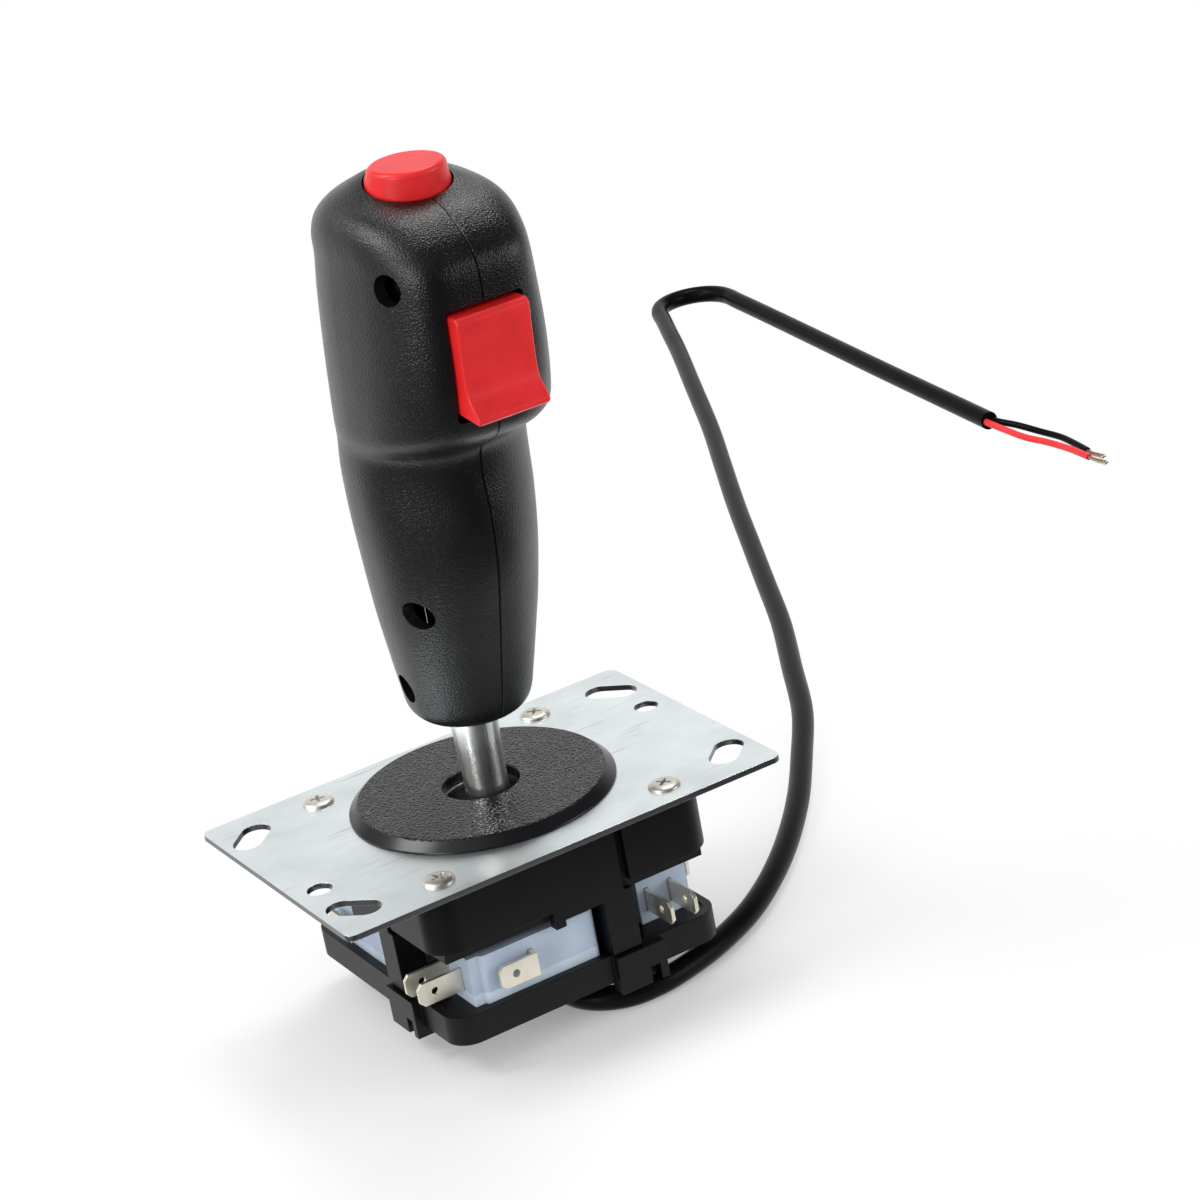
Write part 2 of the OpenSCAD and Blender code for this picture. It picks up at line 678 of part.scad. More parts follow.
spring_seat_t = 0.8;
z_spring_seat = z_housing + spring_pocket_h - spring_seat_t;
spring_wire = 1.2;
module spring_seat() {
    color(c_steel) translate([0, 0, z_spring_seat]) difference() {
        cylinder(d = spring_pocket_d - 2 * fit_gap, h = spring_seat_t);
        translate([0, 0, -1]) cylinder(d = shaft_d + 4, h = spring_seat_t + 2);
    }
}
module centering_spring() {
    z0 = z_drum_top + fit_gap;
    color(c_steel) translate([0, 0, z0])
        coil(6.6, 8.4, spring_wire, z_spring_seat - z0 - fit_gap, 3);
}

module dust_washer() {
    lift = 0.05;
    edge = 0.3;
    r = washer_d / 2;
    bevel = washer_t - edge;
    color(c_washer) translate([-washer_off_x, washer_off_y, z_top + lift]) rotate_extrude($fn = 96) polygon([
        [washer_hole_d / 2, 0], [r, 0], [r, edge], [r - bevel, washer_t],
        [washer_hole_d / 2 + 0.4, washer_t], [washer_hole_d / 2, washer_t - 0.4]
    ]);
}

module shaft() {
    r = shaft_d / 2;
    top_r = shaft_top_d / 2;
    groove_r = r - clip_groove;
    z_taper = z_top + 2;
    z_thick = z_grip - 2;
    color(c_steel) rotate_extrude() polygon([
        [shaft_bore_d / 2, z_shaft], [r - 0.3, z_shaft], [r, z_shaft + 0.3],
        [r, z_clip - fit_gap], [groove_r, z_clip - fit_gap],
        [groove_r, z_clip + clip_t + fit_gap], [r, z_clip + clip_t + fit_gap],
        [r, z_taper], [top_r, z_thick], [top_r, z_shaft_top - 0.5],
        [top_r - 0.5, z_shaft_top], [shaft_bore_d / 2, z_shaft_top]
    ]);
}

module actuator() {
    r = shaft_d / 2 + fit_gap;
    z_floor = z_clip + clip_t + 0.15;
    color(c_nylon) rotate_extrude() polygon([
        [r, z_floor], [skirt_bore, z_floor], [skirt_bore, z_skirt], [skirt_d / 2 - 0.4, z_skirt],
        [skirt_d / 2, z_skirt + 0.4], [skirt_d / 2, z_drum], [actuator_d / 2 - 0.4, z_drum],
        [actuator_d / 2, z_drum + 0.4], [actuator_d / 2, z_drum_top - 0.4],
        [actuator_d / 2 - 0.4, z_drum_top], [r, z_drum_top]
    ]);
}

module e_clip() {
    inner_r = shaft_d / 2 - clip_groove + fit_gap;
    mouth = 1.5 * inner_r;
    color(c_steel) translate([0, 0, z_clip]) difference() {
        cylinder(r = skirt_bore - 0.3, h = clip_t);
        translate([0, 0, -1]) cylinder(r = inner_r, h = clip_t + 2);
        translate([0, -mouth / 2, -1]) cube([skirt_bore, mouth, clip_t + 2]);
    }
}

// Point of the grip's right half at a station, from its front (0) to its back (180)
function grip_point(s, turn) =
    let (
        e = 2 / (turn < 90 ? s[4] : grip_back_squareness),
        c = cos(turn),
        front = sign(c) * pow(abs(c), e),
        y = (s[2] - s[1]) / 2 - (s[1] + s[2]) / 2 * front
    ) [s[3] * pow(sin(turn), e) * grip_narrow(s[5], front), y, z_grip + s[0] + s[6] * (y - button_y)];
function grip_narrow(k, front) = 1 - k * pow(max(front, 0), 2);
// The same on the other side of the split, for the slope at the split
function grip_place(rings, i, j) =
    j < 0 ? let (p = rings[i][-j]) [-p[0], p[1], p[2]] :
    j > grip_sides ? let (p = rings[i][2 * grip_sides - j]) [-p[0], p[1], p[2]] :
    rings[i][j];
function grip_inner(rings, i, j) =
    let (
        last = len(rings) - 1,
        up = grip_place(rings, min(i + 1, last), j) - grip_place(rings, max(i - 1, 0), j),
        along = grip_place(rings, i, j + 1) - grip_place(rings, i, j - 1)
    ) grip_place(rings, i, j) - grip_wall * unit(cross(along, up));
// Half width of the grip's outside at a height above its bottom and a forward reach
function grip_column(c) = [for (k = [1 : len(grip_stations) - 1]) [grip_stations[k][0], grip_stations[k][c]]];
function grip_half(y, h) =
    let (
        front = lookup(h, grip_column(1)),
        back = lookup(h, grip_column(2)),
        off = ((back - front) / 2 - y) / ((front + back) / 2),
        n = off > 0 ? lookup(h, grip_column(4)) : grip_back_squareness
    ) lookup(h, grip_column(3)) * pow(max(1 - pow(abs(off), n), 0), 1 / n)
        * grip_narrow(lookup(h, grip_column(5)), off);
// Where a boss ends inside the shell: short of the outside all round its rim
function boss_end(r, y, h) =
    min([for (turn = [0 : 45 : 315]) grip_half(y + r * cos(turn), h + r * sin(turn))]) - 0.5 * grip_wall;

// Right half of the grip as a bent sheet of even thickness
module grip_sheet() {
    stations = smooth_points(grip_stations, grip_steps);
    n = len(stations);
    m = grip_sides + 1;
    rings = [for (s = stations) [for (j = [0 : grip_sides]) grip_point(s, 180 * j / grip_sides)]];
    outer = [for (i = [0 : n - 1]) each rings[i]];
    inner = [for (i = [0 : n - 1]) for (j = [0 : grip_sides]) grip_inner(rings, i, j)];
    skin = n * m;
    faces = [
        for (i = [0 : n - 2]) for (j = [0 : grip_sides - 1])
            let (a = i * m + j, b = a + 1, d = a + m, c = d + 1)
                each [[a, d, c], [a, c, b], [skin + a, skin + c, skin + d], [skin + a, skin + b, skin + c]],
        for (j = [0 : grip_sides - 1])
            let (a = j, b = j + 1, d = (n - 1) * m + j, c = d + 1)
                each [[a, b, skin + b], [a, skin + b, skin + a], [c, d, skin + d], [c, skin + d, skin + c]],
        for (i = [0 : n - 2])
            let (a = i * m, d = a + m, b = a + grip_sides, c = d + grip_sides)
                each [[d, a, skin + a], [d, skin + a, skin + d], [b, c, skin + c], [b, skin + c, skin + b]]
    ];
    polyhedron(concat(outer, inner), faces, convexity = 8);
}

// Boss along X inside the right half, from a place near the split into the shell
module grip_boss(r, y, h, x0) {
    translate([0, y, z_grip + h]) rod_x(2 * r, x0, boss_end(r, y, h));
}

// Places of the rests that hold the grip's two switches
rest_step = 0.3 * mini_l;
switch_rests = [
    for (s = [-1, 1])
        each [
            [0, trigger_switch_y + 0.75 * mini_h, z_trigger_switch + mini_l / 2 + s * rest_step],
            from_button(0, s * rest_step, -top_switch_depth - mini_h / 2)
        ]
];
trigger_play = 0.5;
// Right half of the grip with its openings, shelf and switch rests
module grip_half_shell() {
    rest_r = 2;
    difference() {
        union() {
            difference() {
                grip_sheet();
                translate([-1, -2 * trigger_lip, z_grip + trigger_foot - 1.6])
                    cube([trigger_w / 2 + trigger_play + 1, 2 * trigger_lip - trigger_back,
                          trigger_top - trigger_foot + 2.5]);
            }
            half_only() in_button() translate([0, 0, -collar_depth])
                cylinder(d = button_d + 2 * button_gap + 2 * collar_t, h = collar_depth - grip_wall);
            grip_boss(boss_r, top_screw[0], top_screw[1], 0);
            grip_boss(boss_r, mid_screw[0], mid_screw[1], 0);
            grip_boss(boss_r, 0, set_screw_h, shaft_top_d / 2 + fit_gap);
            grip_boss(boss_r, 0, shaft_rest_h, shaft_top_d / 2 + fit_gap);
            grip_boss(pin_boss_r, trigger_pivot[0], trigger_pivot[1], trigger_w / 2 + trigger_play);
            for (place = switch_rests)
                grip_boss(rest_r, place[1], place[2] - z_grip, mini_t / 2);
            in_button() translate([0, -shelf_y / 2, -shelf_depth - shelf_t]) cube([shelf_half, shelf_y, shelf_t]);
        }
        in_button() translate([0, 0, -collar_depth - 1]) cylinder(d = button_d + 2 * button_gap, h = 20);
        in_button() translate([0, 0, -shelf_depth - shelf_t - 1])
            cylinder(d = stem_d + 2 * pass_gap, h = shelf_t + 2);
        translate([0, trigger_pivot[0], z_grip + trigger_pivot[1]])
            rod_x(trigger_pin_d + 2 * run_gap, 0, trigger_pin_l / 2 + fit_gap);
        translate([0, 0, z_grip + set_screw_h])
            rod_x(set_screw_d + 2 * fit_gap, 0, shaft_top_d / 2 + set_screw_l + 1);
        translate([0, 0, z_grip + set_screw_h])
            rod_x(grip_hole_d, shaft_top_d / 2 + set_screw_l, 3 * shaft_top_d);
    }
}
// Keeps what lies on the right of the split
module half_only() {
    intersection() {
        children();
        translate([0, -z_button, 0]) cube([z_button, 2 * z_button, 2 * z_button]);
    }
}
// Places children in the thumb button's frame, with its axis along Z and the grip's top at 0
module in_button() {
    translate([0, button_y, z_button]) rotate([button_tilt, 0, 0]) children();
}
// Place of a point of the button's frame
function from_button(x, y, z) = [
    x, button_y + y * cos(button_tilt) - z * sin(button_tilt), z_button + y * sin(button_tilt) + z * cos(button_tilt)
];

module grip_shell_left() {
    color(c_black) difference() {
        mirror([1, 0, 0]) grip_half_shell();
        for (place = [top_screw, mid_screw]) translate([0, place[0], z_grip + place[1]]) {
            rod_x(grip_screw_d + 2 * fit_gap, -screw_seat - 1, 1);
            rod_x(grip_hole_d, -40, -screw_seat);
        }
    }
}
module grip_shell_right() {
    color(c_black) difference() {
        grip_half_shell();
        for (place = [top_screw, mid_screw]) translate([0, place[0], z_grip + place[1]])
            rod_x(grip_screw_d + 2 * fit_gap, -1, grip_screw_bite + 0.5);
    }
}

// Slot across a screw's outer end, which faces -X
module drive_slot(x, d) {
    translate([x, 0, 0]) cube([1.4, 0.3 * d, d], center = true);
}
module grip_screws() {
    color(c_steel)
        for (place = [top_screw, mid_screw]) translate([0, place[0], z_grip + place[1]]) difference() {
            union() {
                rod_x(grip_screw_head_d, -screw_seat - grip_screw_head_h, -screw_seat);
                rod_x(grip_screw_d, -screw_seat - 0.1, grip_screw_bite);
            }
            drive_slot(-screw_seat - grip_screw_head_h, 0.7 * grip_screw_head_d);
        }
}
module set_screws() {
    color(c_steel) translate([0, 0, z_grip + set_screw_h])
        for (turn = [0, 180]) rotate(turn) difference() {
            rod_x(set_screw_d, -shaft_top_d / 2 - set_screw_l, -shaft_top_d / 2 - 0.05);
            drive_slot(-shaft_top_d / 2 - set_screw_l, set_screw_d + 1);
        }
}

module top_button() {
    r = button_d / 2;
    tall = button_h + r * tan(button_slant);
    color(c_red) in_button() difference() {
        rotate_extrude($fn = 72) polygon([
            [0, -stem_depth], [stem_d / 2, -stem_depth], [stem_d / 2, -flange_depth - flange_t],
            [flange_d / 2, -flange_depth - flange_t], [flange_d / 2, -flange_depth], [r, -flange_depth],
            [r, 0.3], [0.93 * r, 0.4 * button_h], [0.87 * r, button_h], [0.82 * r, tall], [0, tall]
        ]);
        translate([0, 0, button_h]) rotate([-button_slant, 0, 0]) translate([-r, -2 * r, 0])
            cube([2 * r, 4 * r, 2 * tall]);
    }
}
module button_spring() {
    length = shelf_depth - flange_depth - flange_t - 2 * fit_gap;
    color(c_steel) in_button() translate([0, 0, -shelf_depth + fit_gap]) coil(4.8, 4.8, 0.5, length, 3);
}

// Grip switch in its own frame: along Y, plunger up +Z, thickness on both sides of X
module mini_case(plunger_y) {
    color(c_black) difference() {
        translate([-mini_t / 2, 0, 0]) cube([mini_t, mini_l, mini_h]);
        translate([-mini_t / 2 + mini_wall, mini_wall, mini_wall])
            cube([mini_t - 2 * mini_wall, mini_l - 2 * mini_wall, mini_h - 2 * mini_wall]);
        translate([0, plunger_y, mini_h - mini_wall - 1])
            cylinder(d = mini_plunger_d + 2 * run_gap, h = mini_wall + 2);
        for (y = mini_tab_places)
            translate([-mini_tab[1] / 2 - fit_gap, y - fit_gap, -1])
                cube([mini_tab[1] + 2 * fit_gap, mini_tab[0] + 2 * fit_gap, mini_wall + 2]);
    }
}
module mini_plunger(plunger_y) {
    color(c_plunger) translate([0, plunger_y, mini_h - mini_wall - mini_plunger_in])
        cylinder(d = mini_plunger_d, h = mini_wall + mini_plunger_in + mini_plunger_out);
}
module mini_tabs() {
    color(c_nickel)
        for (y = mini_tab_places)
            translate([-mini_tab[1] / 2, y, -mini_tab[2]])
                cube([mini_tab[1], mini_tab[0], mini_tab[2] + mini_wall + 1]);
}
mini_tab_places = [1.8, 9.6, 17.4];

module in_top_switch() {
    in_button() translate([0, -top_plunger_y, -top_switch_depth - mini_h]) children();
}
module in_trigger_switch() {
    translate([0, trigger_switch_y, z_trigger_switch]) translate([0, mini_h, 0]) rotate([90, 0, 0])
        children();
}
top_plunger_y = mini_l / 2 - top_switch_off;
trigger_plunger_y = z_grip + trigger_plunger_h - z_trigger_switch;
module top_switch_case() { in_top_switch() mini_case(top_plunger_y); }
module top_switch_plunger() { in_top_switch() mini_plunger(top_plunger_y); }
module top_switch_tabs() { in_top_switch() mini_tabs(); }
module trigger_switch_case() { in_trigger_switch() mini_case(trigger_plunger_y); }
module trigger_switch_plunger() { in_trigger_switch() mini_plunger(trigger_plunger_y); }
module trigger_switch_tabs() { in_trigger_switch() mini_tabs(); }

module trigger() {
    slot_r = 4.6;
    color(c_red) translate([0, 0, z_grip]) difference() {
        rotate([90, 0, 90]) translate([0, 0, -trigger_w / 2]) linear_extrude(trigger_w) polygon([
            [-trigger_lip + 1.6, trigger_top - 0.6], [-trigger_lip + 1.3, trigger_top - 1.4],
            [-trigger_lip + 2, trigger_top - 6], [-trigger_lip + 2.5, trigger_top - 10.5],
            [-trigger_lip + 2.3, trigger_top - 14.5], [-trigger_lip + 1.5, trigger_top - 17],
            [-trigger_lip, trigger_foot + 1.2], [-trigger_lip + 0.1, trigger_foot + 0.3],
            [-trigger_lip + 0.8, trigger_foot], [-37.6, trigger_foot + 0.6],
            [-trigger_back - 1, trigger_foot + 1.6], [-trigger_back, trigger_foot + 2.4],
            [-trigger_back, trigger_top - 1], [-trigger_back - 1, trigger_top],
            [-trigger_lip + 2.4, trigger_top]
        ]);
        translate([0, trigger_pivot[0], trigger_pivot[1]])
            rod_x(trigger_pin_d + 2 * run_gap, -trigger_w, trigger_w);
        translate([0, trigger_pivot[0], trigger_pivot[1]])
            rod_x(2 * slot_r, -trigger_slot_w / 2, trigger_slot_w / 2);
    }
}
module trigger_pin() {
    color(c_steel) translate([0, trigger_pivot[0], z_grip + trigger_pivot[1]])
        rod_x(trigger_pin_d, -trigger_pin_l / 2, trigger_pin_l / 2);
}
module trigger_spring() {
    wire = 0.7;
    length = trigger_slot_w - 0.6;
    color(c_steel) translate([-length / 2, trigger_pivot[0], z_grip + trigger_pivot[1]]) rotate([0, 90, 0])
        coil(trigger_pin_d / 2 + 0.75, trigger_pin_d / 2 + 0.75, wire, length, 5);
}

module stick_cable() {
    color(c_black) translate([0, 0, z_shaft + 0.5]) cylinder(d = cable_d, h = z_cable_top - z_shaft - 0.5);
}
// Two runs of wire in the grip: cable to trigger switch, and on to the button's switch
module stick_wires(x, tab, top_tab) {
    z_tab = z_trigger_switch + mini_tab_places[tab];
    x_tab = x + sign(x) * 0.9;
    y_top = mini_tab_places[top_tab] - top_plunger_y + mini_tab[0] / 2;
    z_end = -top_switch_depth - mini_h - mini_tab[2];
    tube(smooth_points([
        [x, 0, z_cable_top + fit_gap], [x, -0.1 * wire_bend, z_cable_top + wire_rise],
        [x_tab, wire_y + wire_bend, z_tab - wire_bend],
        [x_tab, wire_y + wire_step, z_tab - wire_step / 2], [x_tab, wire_y + wire_end, z_tab]
    ], 3), lead_d, 8, [1, 0, 0]);
    tube(smooth_points([
        [x_tab, wire_y + wire_end, z_tab + wire_step],
        [x_tab, wire_y + wire_step + wire_end, z_tab + 2 * wire_step],
        from_button(x_tab, y_top + wire_end, z_end - wire_bend), from_button(x_tab, y_top, z_end - lead_d / 2)
    ], 3), lead_d, 8, [1, 0, 0]);
}
module stick_wire_red() { color(c_red) stick_wires(1.4, 0, 2); }
module stick_wire_black() { color(c_black) stick_wires(-1.4, 1, 2); }

cable_points = smooth_points(cable_route, cable_steps);
cable_split = (cable_entry_points - 1) * cable_steps;
module cable_entry() {
    color(c_black) tube(cable_points, cable_d, cable_sides, [1, 0, 0], 0, cable_split);
}
module cable_sheath() {
    color(c_black) tube(cable_points, cable_d, cable_sides, [0, 0, -1], cable_split);
}
module lead_red() {
    color(c_red) tube(smooth_points(lead_red_route, 2), lead_d, 8, [0, 0, 1]);
}
module lead_black() {
    color(c_black) tube(smooth_points(lead_black_route, 2), lead_d, 8, [0, 0, 1]);
}
module lead_strands() {
    color(c_copper) {
        tube(strand_red_route, strand_d, 8, [0, 0, 1]);
        tube(strand_black_route, strand_d, 8, [0, 0, 1]);
    }
}

mounting_plate();
plate_screws();
upper_housing();
bottom_tray();
switch_case(FRONT);  // switch_front_case
switch_case(LEFT);  // switch_left_case
switch_case(BACK);  // switch_back_case
switch_case(RIGHT);  // switch_right_case
switch_cover(FRONT);  // switch_front_cover
switch_cover(LEFT);  // switch_left_cover
switch_cover(BACK);  // switch_back_cover
switch_cover(RIGHT);  // switch_right_cover
switch_tabs(FRONT);  // switch_front_tabs
switch_tabs(LEFT);  // switch_left_tabs
switch_tabs(BACK);  // switch_back_tabs
switch_tabs(RIGHT);  // switch_right_tabs
switch_plunger(FRONT);  // switch_front_plunger
switch_plunger(LEFT);  // switch_left_plunger
switch_plunger(BACK);  // switch_back_plunger
switch_plunger(RIGHT);  // switch_right_plunger
pivot_seat();
pivot_cap();
spring_seat();
centering_spring();
dust_washer();
shaft();
pivot_ball();
actuator();
e_clip();
grip_shell_left();
grip_shell_right();
grip_screws();
set_screws();
top_button();
button_spring();
top_switch_case();
top_switch_plunger();
top_switch_tabs();
trigger();
trigger_pin();
trigger_spring();
trigger_switch_case();
trigger_switch_plunger();
trigger_switch_tabs();
stick_cable();
stick_wire_red();
stick_wire_black();
cable_entry();
cable_sheath();
lead_red();
lead_black();
lead_strands();
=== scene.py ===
"""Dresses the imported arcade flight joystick: smooth grip, rounded base, cable and finishes."""

import json
import math

import bmesh
import bpy
from mathutils import Matrix, Vector


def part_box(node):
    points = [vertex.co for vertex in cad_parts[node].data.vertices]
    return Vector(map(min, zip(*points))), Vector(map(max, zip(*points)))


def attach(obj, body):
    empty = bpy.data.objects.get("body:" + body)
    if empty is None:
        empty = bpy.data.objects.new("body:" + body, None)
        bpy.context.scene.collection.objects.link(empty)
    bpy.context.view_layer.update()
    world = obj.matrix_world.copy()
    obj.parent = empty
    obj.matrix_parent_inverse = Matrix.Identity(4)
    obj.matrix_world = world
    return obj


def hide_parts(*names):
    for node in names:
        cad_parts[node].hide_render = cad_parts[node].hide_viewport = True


bl_info = {
    "name": "Arcade flight joystick",
    "version": (1, 0, 0),
    "blender": (4, 5, 0),
    "location": "View3D > Sidebar > Joystick",
    "description": "Builds the looks of an arcade flight joystick around its packed frame",
    "category": "Object",
}

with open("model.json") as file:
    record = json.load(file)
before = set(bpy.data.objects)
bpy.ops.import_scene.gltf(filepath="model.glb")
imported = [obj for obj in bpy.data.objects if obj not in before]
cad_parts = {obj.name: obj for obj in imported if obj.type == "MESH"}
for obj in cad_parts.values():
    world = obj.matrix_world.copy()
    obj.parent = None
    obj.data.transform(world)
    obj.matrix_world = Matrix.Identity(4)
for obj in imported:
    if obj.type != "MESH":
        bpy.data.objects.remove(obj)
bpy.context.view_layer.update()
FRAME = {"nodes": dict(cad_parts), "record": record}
MM = 0.001
WHITE = (1, 1, 1, 1)
SIDES = ("front", "left", "back", "right")
SLOT_OF = {row["node"]: row["material_slot"] for row in FRAME["record"]["subparts"]}
BODY_OF = {
    node: body
    for body, nodes in FRAME["record"]["behaviour"]["bodies"].items()
    for node in nodes
}

# Lengths are in millimetres and angles in degrees, unless a comment says otherwise
# Levels that the frame's own boxes give
Z_GRIP = min(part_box(n)[0].z for n in ("grip_shell_left", "grip_shell_right")) / MM
Z_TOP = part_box("mounting_plate")[1].z / MM
Z_SHAFT, Z_SHAFT_TOP = (corner.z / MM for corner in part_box("shaft"))
Z_CLIP, Z_CLIP_TOP = (corner.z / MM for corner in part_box("e_clip"))

# Thumb button: its lean, where its axis meets the grip's top, and its own sizes
BUTTON_TILT = 18
BUTTON_Y = -18.5
BUTTON_D = 15.8
BUTTON_GAP = 0.4
BUTTON_H = 3.4
BUTTON_SLANT = 16

GRIP_TOP = 110.6
GRIP_BACK_SQUARENESS = 2.3
GRIP_WALL = 2.2
SPLIT_GAP = 0.02
# Stations of the grip, from its bottom: height, reach to the front, reach to the back, half
# width, squareness of the front, narrowing of the front, rise to the back
GRIP_STATIONS = (
    (0.3, 5.4, 5.4, 5.4, 2, 0, 0),
    (0, 7.8, 7.8, 7.4, 2, 0, 0),
    (0.7, 11.5, 10.2, 9.8, 2, 0, 0),
    (3, 13.7, 11.9, 11.7, 2.05, 0.02, 0),
    (8, 15.7, 12.6, 12.6, 2.1, 0.04, 0),
    (16.5, 18.4, 12.5, 14, 2.1, 0.06, 0),
    (25, 21.1, 12.3, 15.3, 2.15, 0.12, 0),
    (36, 24.4, 12.2, 16.4, 2.2, 0.2, 0),
    (46, 25.7, 11.6, 17.2, 2.2, 0.24, 0),
    (55, 25.6, 10.6, 17.5, 2.25, 0.24, 0),
    (60, 26.6, 9.9, 17.4, 2.3, 0.2, 0),
    (62.4, 30.2, 9.6, 17.7, 2.6, 0.2, 0),
    (65, 34.8, 9.3, 18.3, 3.2, 0.24, 0),
    (69, 36.8, 9, 18.4, 4.2, 0.27, 0),
    (80, 38.6, 8, 18.1, 5.4, 0.28, 0),
    (91, 39.6, 6.8, 17.5, 5.8, 0.29, 0),
    (98, 39.8, 5.6, 16.9, 5.8, 0.28, 0),
    (102, 37.7, 4.8, 16.7, 5.2, 0.24, 0.015),
    (105.1, 34.8, 2.4, 15.9, 4.2, 0.17, 0.04),
    (107.6, 31, -1.2, 13.8, 3.2, 0.05, 0.06),
    (109.2, 27.2, -5.8, 10.6, 2.5, 0.02, 0.13),
    (110.2, 24.8, -9.6, 8.1, 2, 0, 0.23),
    (GRIP_TOP, 24, -13, 6.4, 2, 0, math.tan(math.radians(BUTTON_TILT))),
)

# Screws in the grip's side: place along Y and height above its bottom, holes and bosses
SCREW_PLACES = ((-32, 96.2), (-13.5, 27.9))
SCREW_SEAT = 7
SET_SCREW_PLACE = (0, 8.6)
SET_SCREW_SEAT = 9.9
SET_SCREW_BOSS_START = 5
GRIP_HOLE_R = 3
BOSS_R = 4.4

# Opening for the trigger: half width, heights above the grip's bottom, and its back
OPENING_HALF = 8
OPENING_LOW = 69.6
OPENING_HIGH = 91.3
OPENING_BACK = -31
OPENING_ROUND = 0.9

# Side view of the trigger: reaches to the front and heights above the grip's bottom
TRIGGER_LIP = 43.8
TRIGGER_HEEL = 37.6
TRIGGER_BACK = 31
TRIGGER_FOOT = 70.4
TRIGGER_TOP = 90.4
TRIGGER_W = 15

# Cable: down from the shaft, then along the floor at the height of its own middle
CABLE_D = 5
CABLE_FLOOR = 2.5
CABLE_DROP = ((0, 0, 11.9), (0, -0.46, 9), (0, -1.8, 6.4), (0, -3.9, 4.3), (0, -6.6, 3))
CABLE_ON_FLOOR = (
    (0, -9.7), (0, -13.4), (0, -17), (0.9, -21.6), (3.5, -25.5), (7.4, -28.1), (12, -29), (19.5, -28.2),
    (32, -24), (46, -16), (62, -2), (78, 16), (92, 35), (105, 54), (117, 76), (130, 100), (142, 125),
    (154, 150), (166, 175), (180, 203), (194, 231), (209, 263), (224, 295), (232.6, 314.4),
    (237.6, 325.6), (240.3, 332), (243.5, 336.2), (248.3, 338.5), (253.6, 338.3), (258.1, 335.8),
    (261, 331.4), (261.7, 326.1), (260.9, 319.8), (259.6, 308), (256.6, 283), (253, 254), (249.4, 225),
    (246, 196), (242.6, 167),
)
CABLE_ROUTE = (*CABLE_DROP, *((x, y, CABLE_FLOOR) for x, y in CABLE_ON_FLOOR))

# Leads out of the cable's end, and the bare strands out of the leads
LEAD_D = 1.8
LEAD_FLOOR = 0.9
LEAD_RED_ROUTE = (
    (241.5, 166.85, CABLE_FLOOR), (241.5, 164, 2.3), (242.2, 159, 1.6),
    *((x, y, LEAD_FLOOR) for x, y in ((243, 152), (244.2, 144), (244.6, 135), (244, 126))),
)
LEAD_BLACK_ROUTE = (
    (243.7, 166.85, CABLE_FLOOR), (243.9, 164, 2.4), (246, 159, 1.8),
    *((x, y, LEAD_FLOOR) for x, y in ((248, 152), (248.6, 144), (247.8, 137), (246.6, 130))),
)
STRAND_RED_ROUTE = ((244, 126), (243.8, 123), (244.2, 119))
STRAND_BLACK_ROUTE = ((246.6, 130), (246.2, 127), (246.6, 123))
STRAND_D = 0.34
STRANDS = 7
# Turns of the twist, spread at the end, difference in length, and share of the drop to the floor
STRAND_TWIST = 0.5
STRAND_SPLAY = 0.55
STRAND_UNEVEN = 0.25
STRAND_DROP = 0.25


def linear(code):
    """Linear RGBA of an sRGB hex colour."""
    parts = [int(code[i:i + 2], 16) / 255 for i in (1, 3, 5)]
    light = (c / 12.92 if c <= 0.04045 else ((c + 0.055) / 1.055) ** 2.4 for c in parts)
    return (*light, 1.0)


def colour_property(name, description, code):
    """A colour that a user may change, given as sRGB hex."""
    return bpy.props.FloatVectorProperty(
        name=name, description=description, subtype="COLOR", size=4, min=0, max=1, default=linear(code)
    )


def length_property(name, description, millimetres):
    """A length that a user may change, given in millimetres."""
    return bpy.props.FloatProperty(
        name=name, description=description, subtype="DISTANCE", unit="LENGTH", min=0, precision=5,
        default=millimetres * MM,
    )


class JOYSTICK_PG_sizes(bpy.types.PropertyGroup):
    """Sizes of the details that the frame leaves out."""

    seam_width: length_property("Seam half width", "Half width of the groove between the shells", 0.3)
    seam_depth: length_property("Seam depth", "Depth of the groove between the shells", 0.35)
    edge_round: length_property("Moulded edge", "Radius of the base mouldings' edges", 0.3)
    sheet_round: length_property("Sheet edge", "Radius of the plate's pressed edges", 0.14)
    button_round: length_property("Button edge", "Radius of the edge of the button's top", 1.1)
    trigger_round: length_property("Trigger edge", "Radius of the trigger's edges", 1.1)
    grip_grain: length_property("Grip grain", "Width of the pebbles on the grip", 0.36)
    leather_grain: length_property("Leather grain", "Width of the cells on the dust washer", 1)


class JOYSTICK_PG_colours(bpy.types.PropertyGroup):
    """Colours of the finishes."""

    grip: colour_property("Grip", "Moulded grip shells", "#0b0b0d")
    base: colour_property("Base", "Moulded housing and tray", "#0a0a0c")
    red: colour_property("Red", "Trigger and thumb button", "#cc1e20")
    washer: colour_property("Washer", "Dust washer", "#131316")
    zinc: colour_property("Zinc", "Mounting plate", "#edf4f5")
    scratch: colour_property("Scratches", "Scratches on the mounting plate", "#8d8c88")
    cut_edge: colour_property("Cut edge", "Cut edges of the mounting plate", "#7c7d7f")
    nickel: colour_property("Nickel", "Screws", "#e3dfd6")
    tin: colour_property("Tin", "Switch tabs", "#f6f0e0")
    chrome: colour_property("Shaft", "Bright plated shaft", "#f4f4f0")
    steel: colour_property("Steel", "Springs and small hardware", "#b9bcbf")
    # The cases' darker blue-grey is partly painted shade from the plate above them
    switch_case: colour_property("Switch case", "Snap switch cases", "#9fadbe")
    switch_cover: colour_property("Switch cover", "Snap switch covers", "#b2c0cd")
    nylon: colour_property("Nylon", "Bearing and plungers", "#e6e2d6")
    cable: colour_property("Cable", "Cable sheath and black lead", "#0b0b0c")
    lead: colour_property("Red lead", "Insulation of the red lead", "#d8242a")
    copper: colour_property("Strands", "Tinned copper strands", "#c9b9a4")


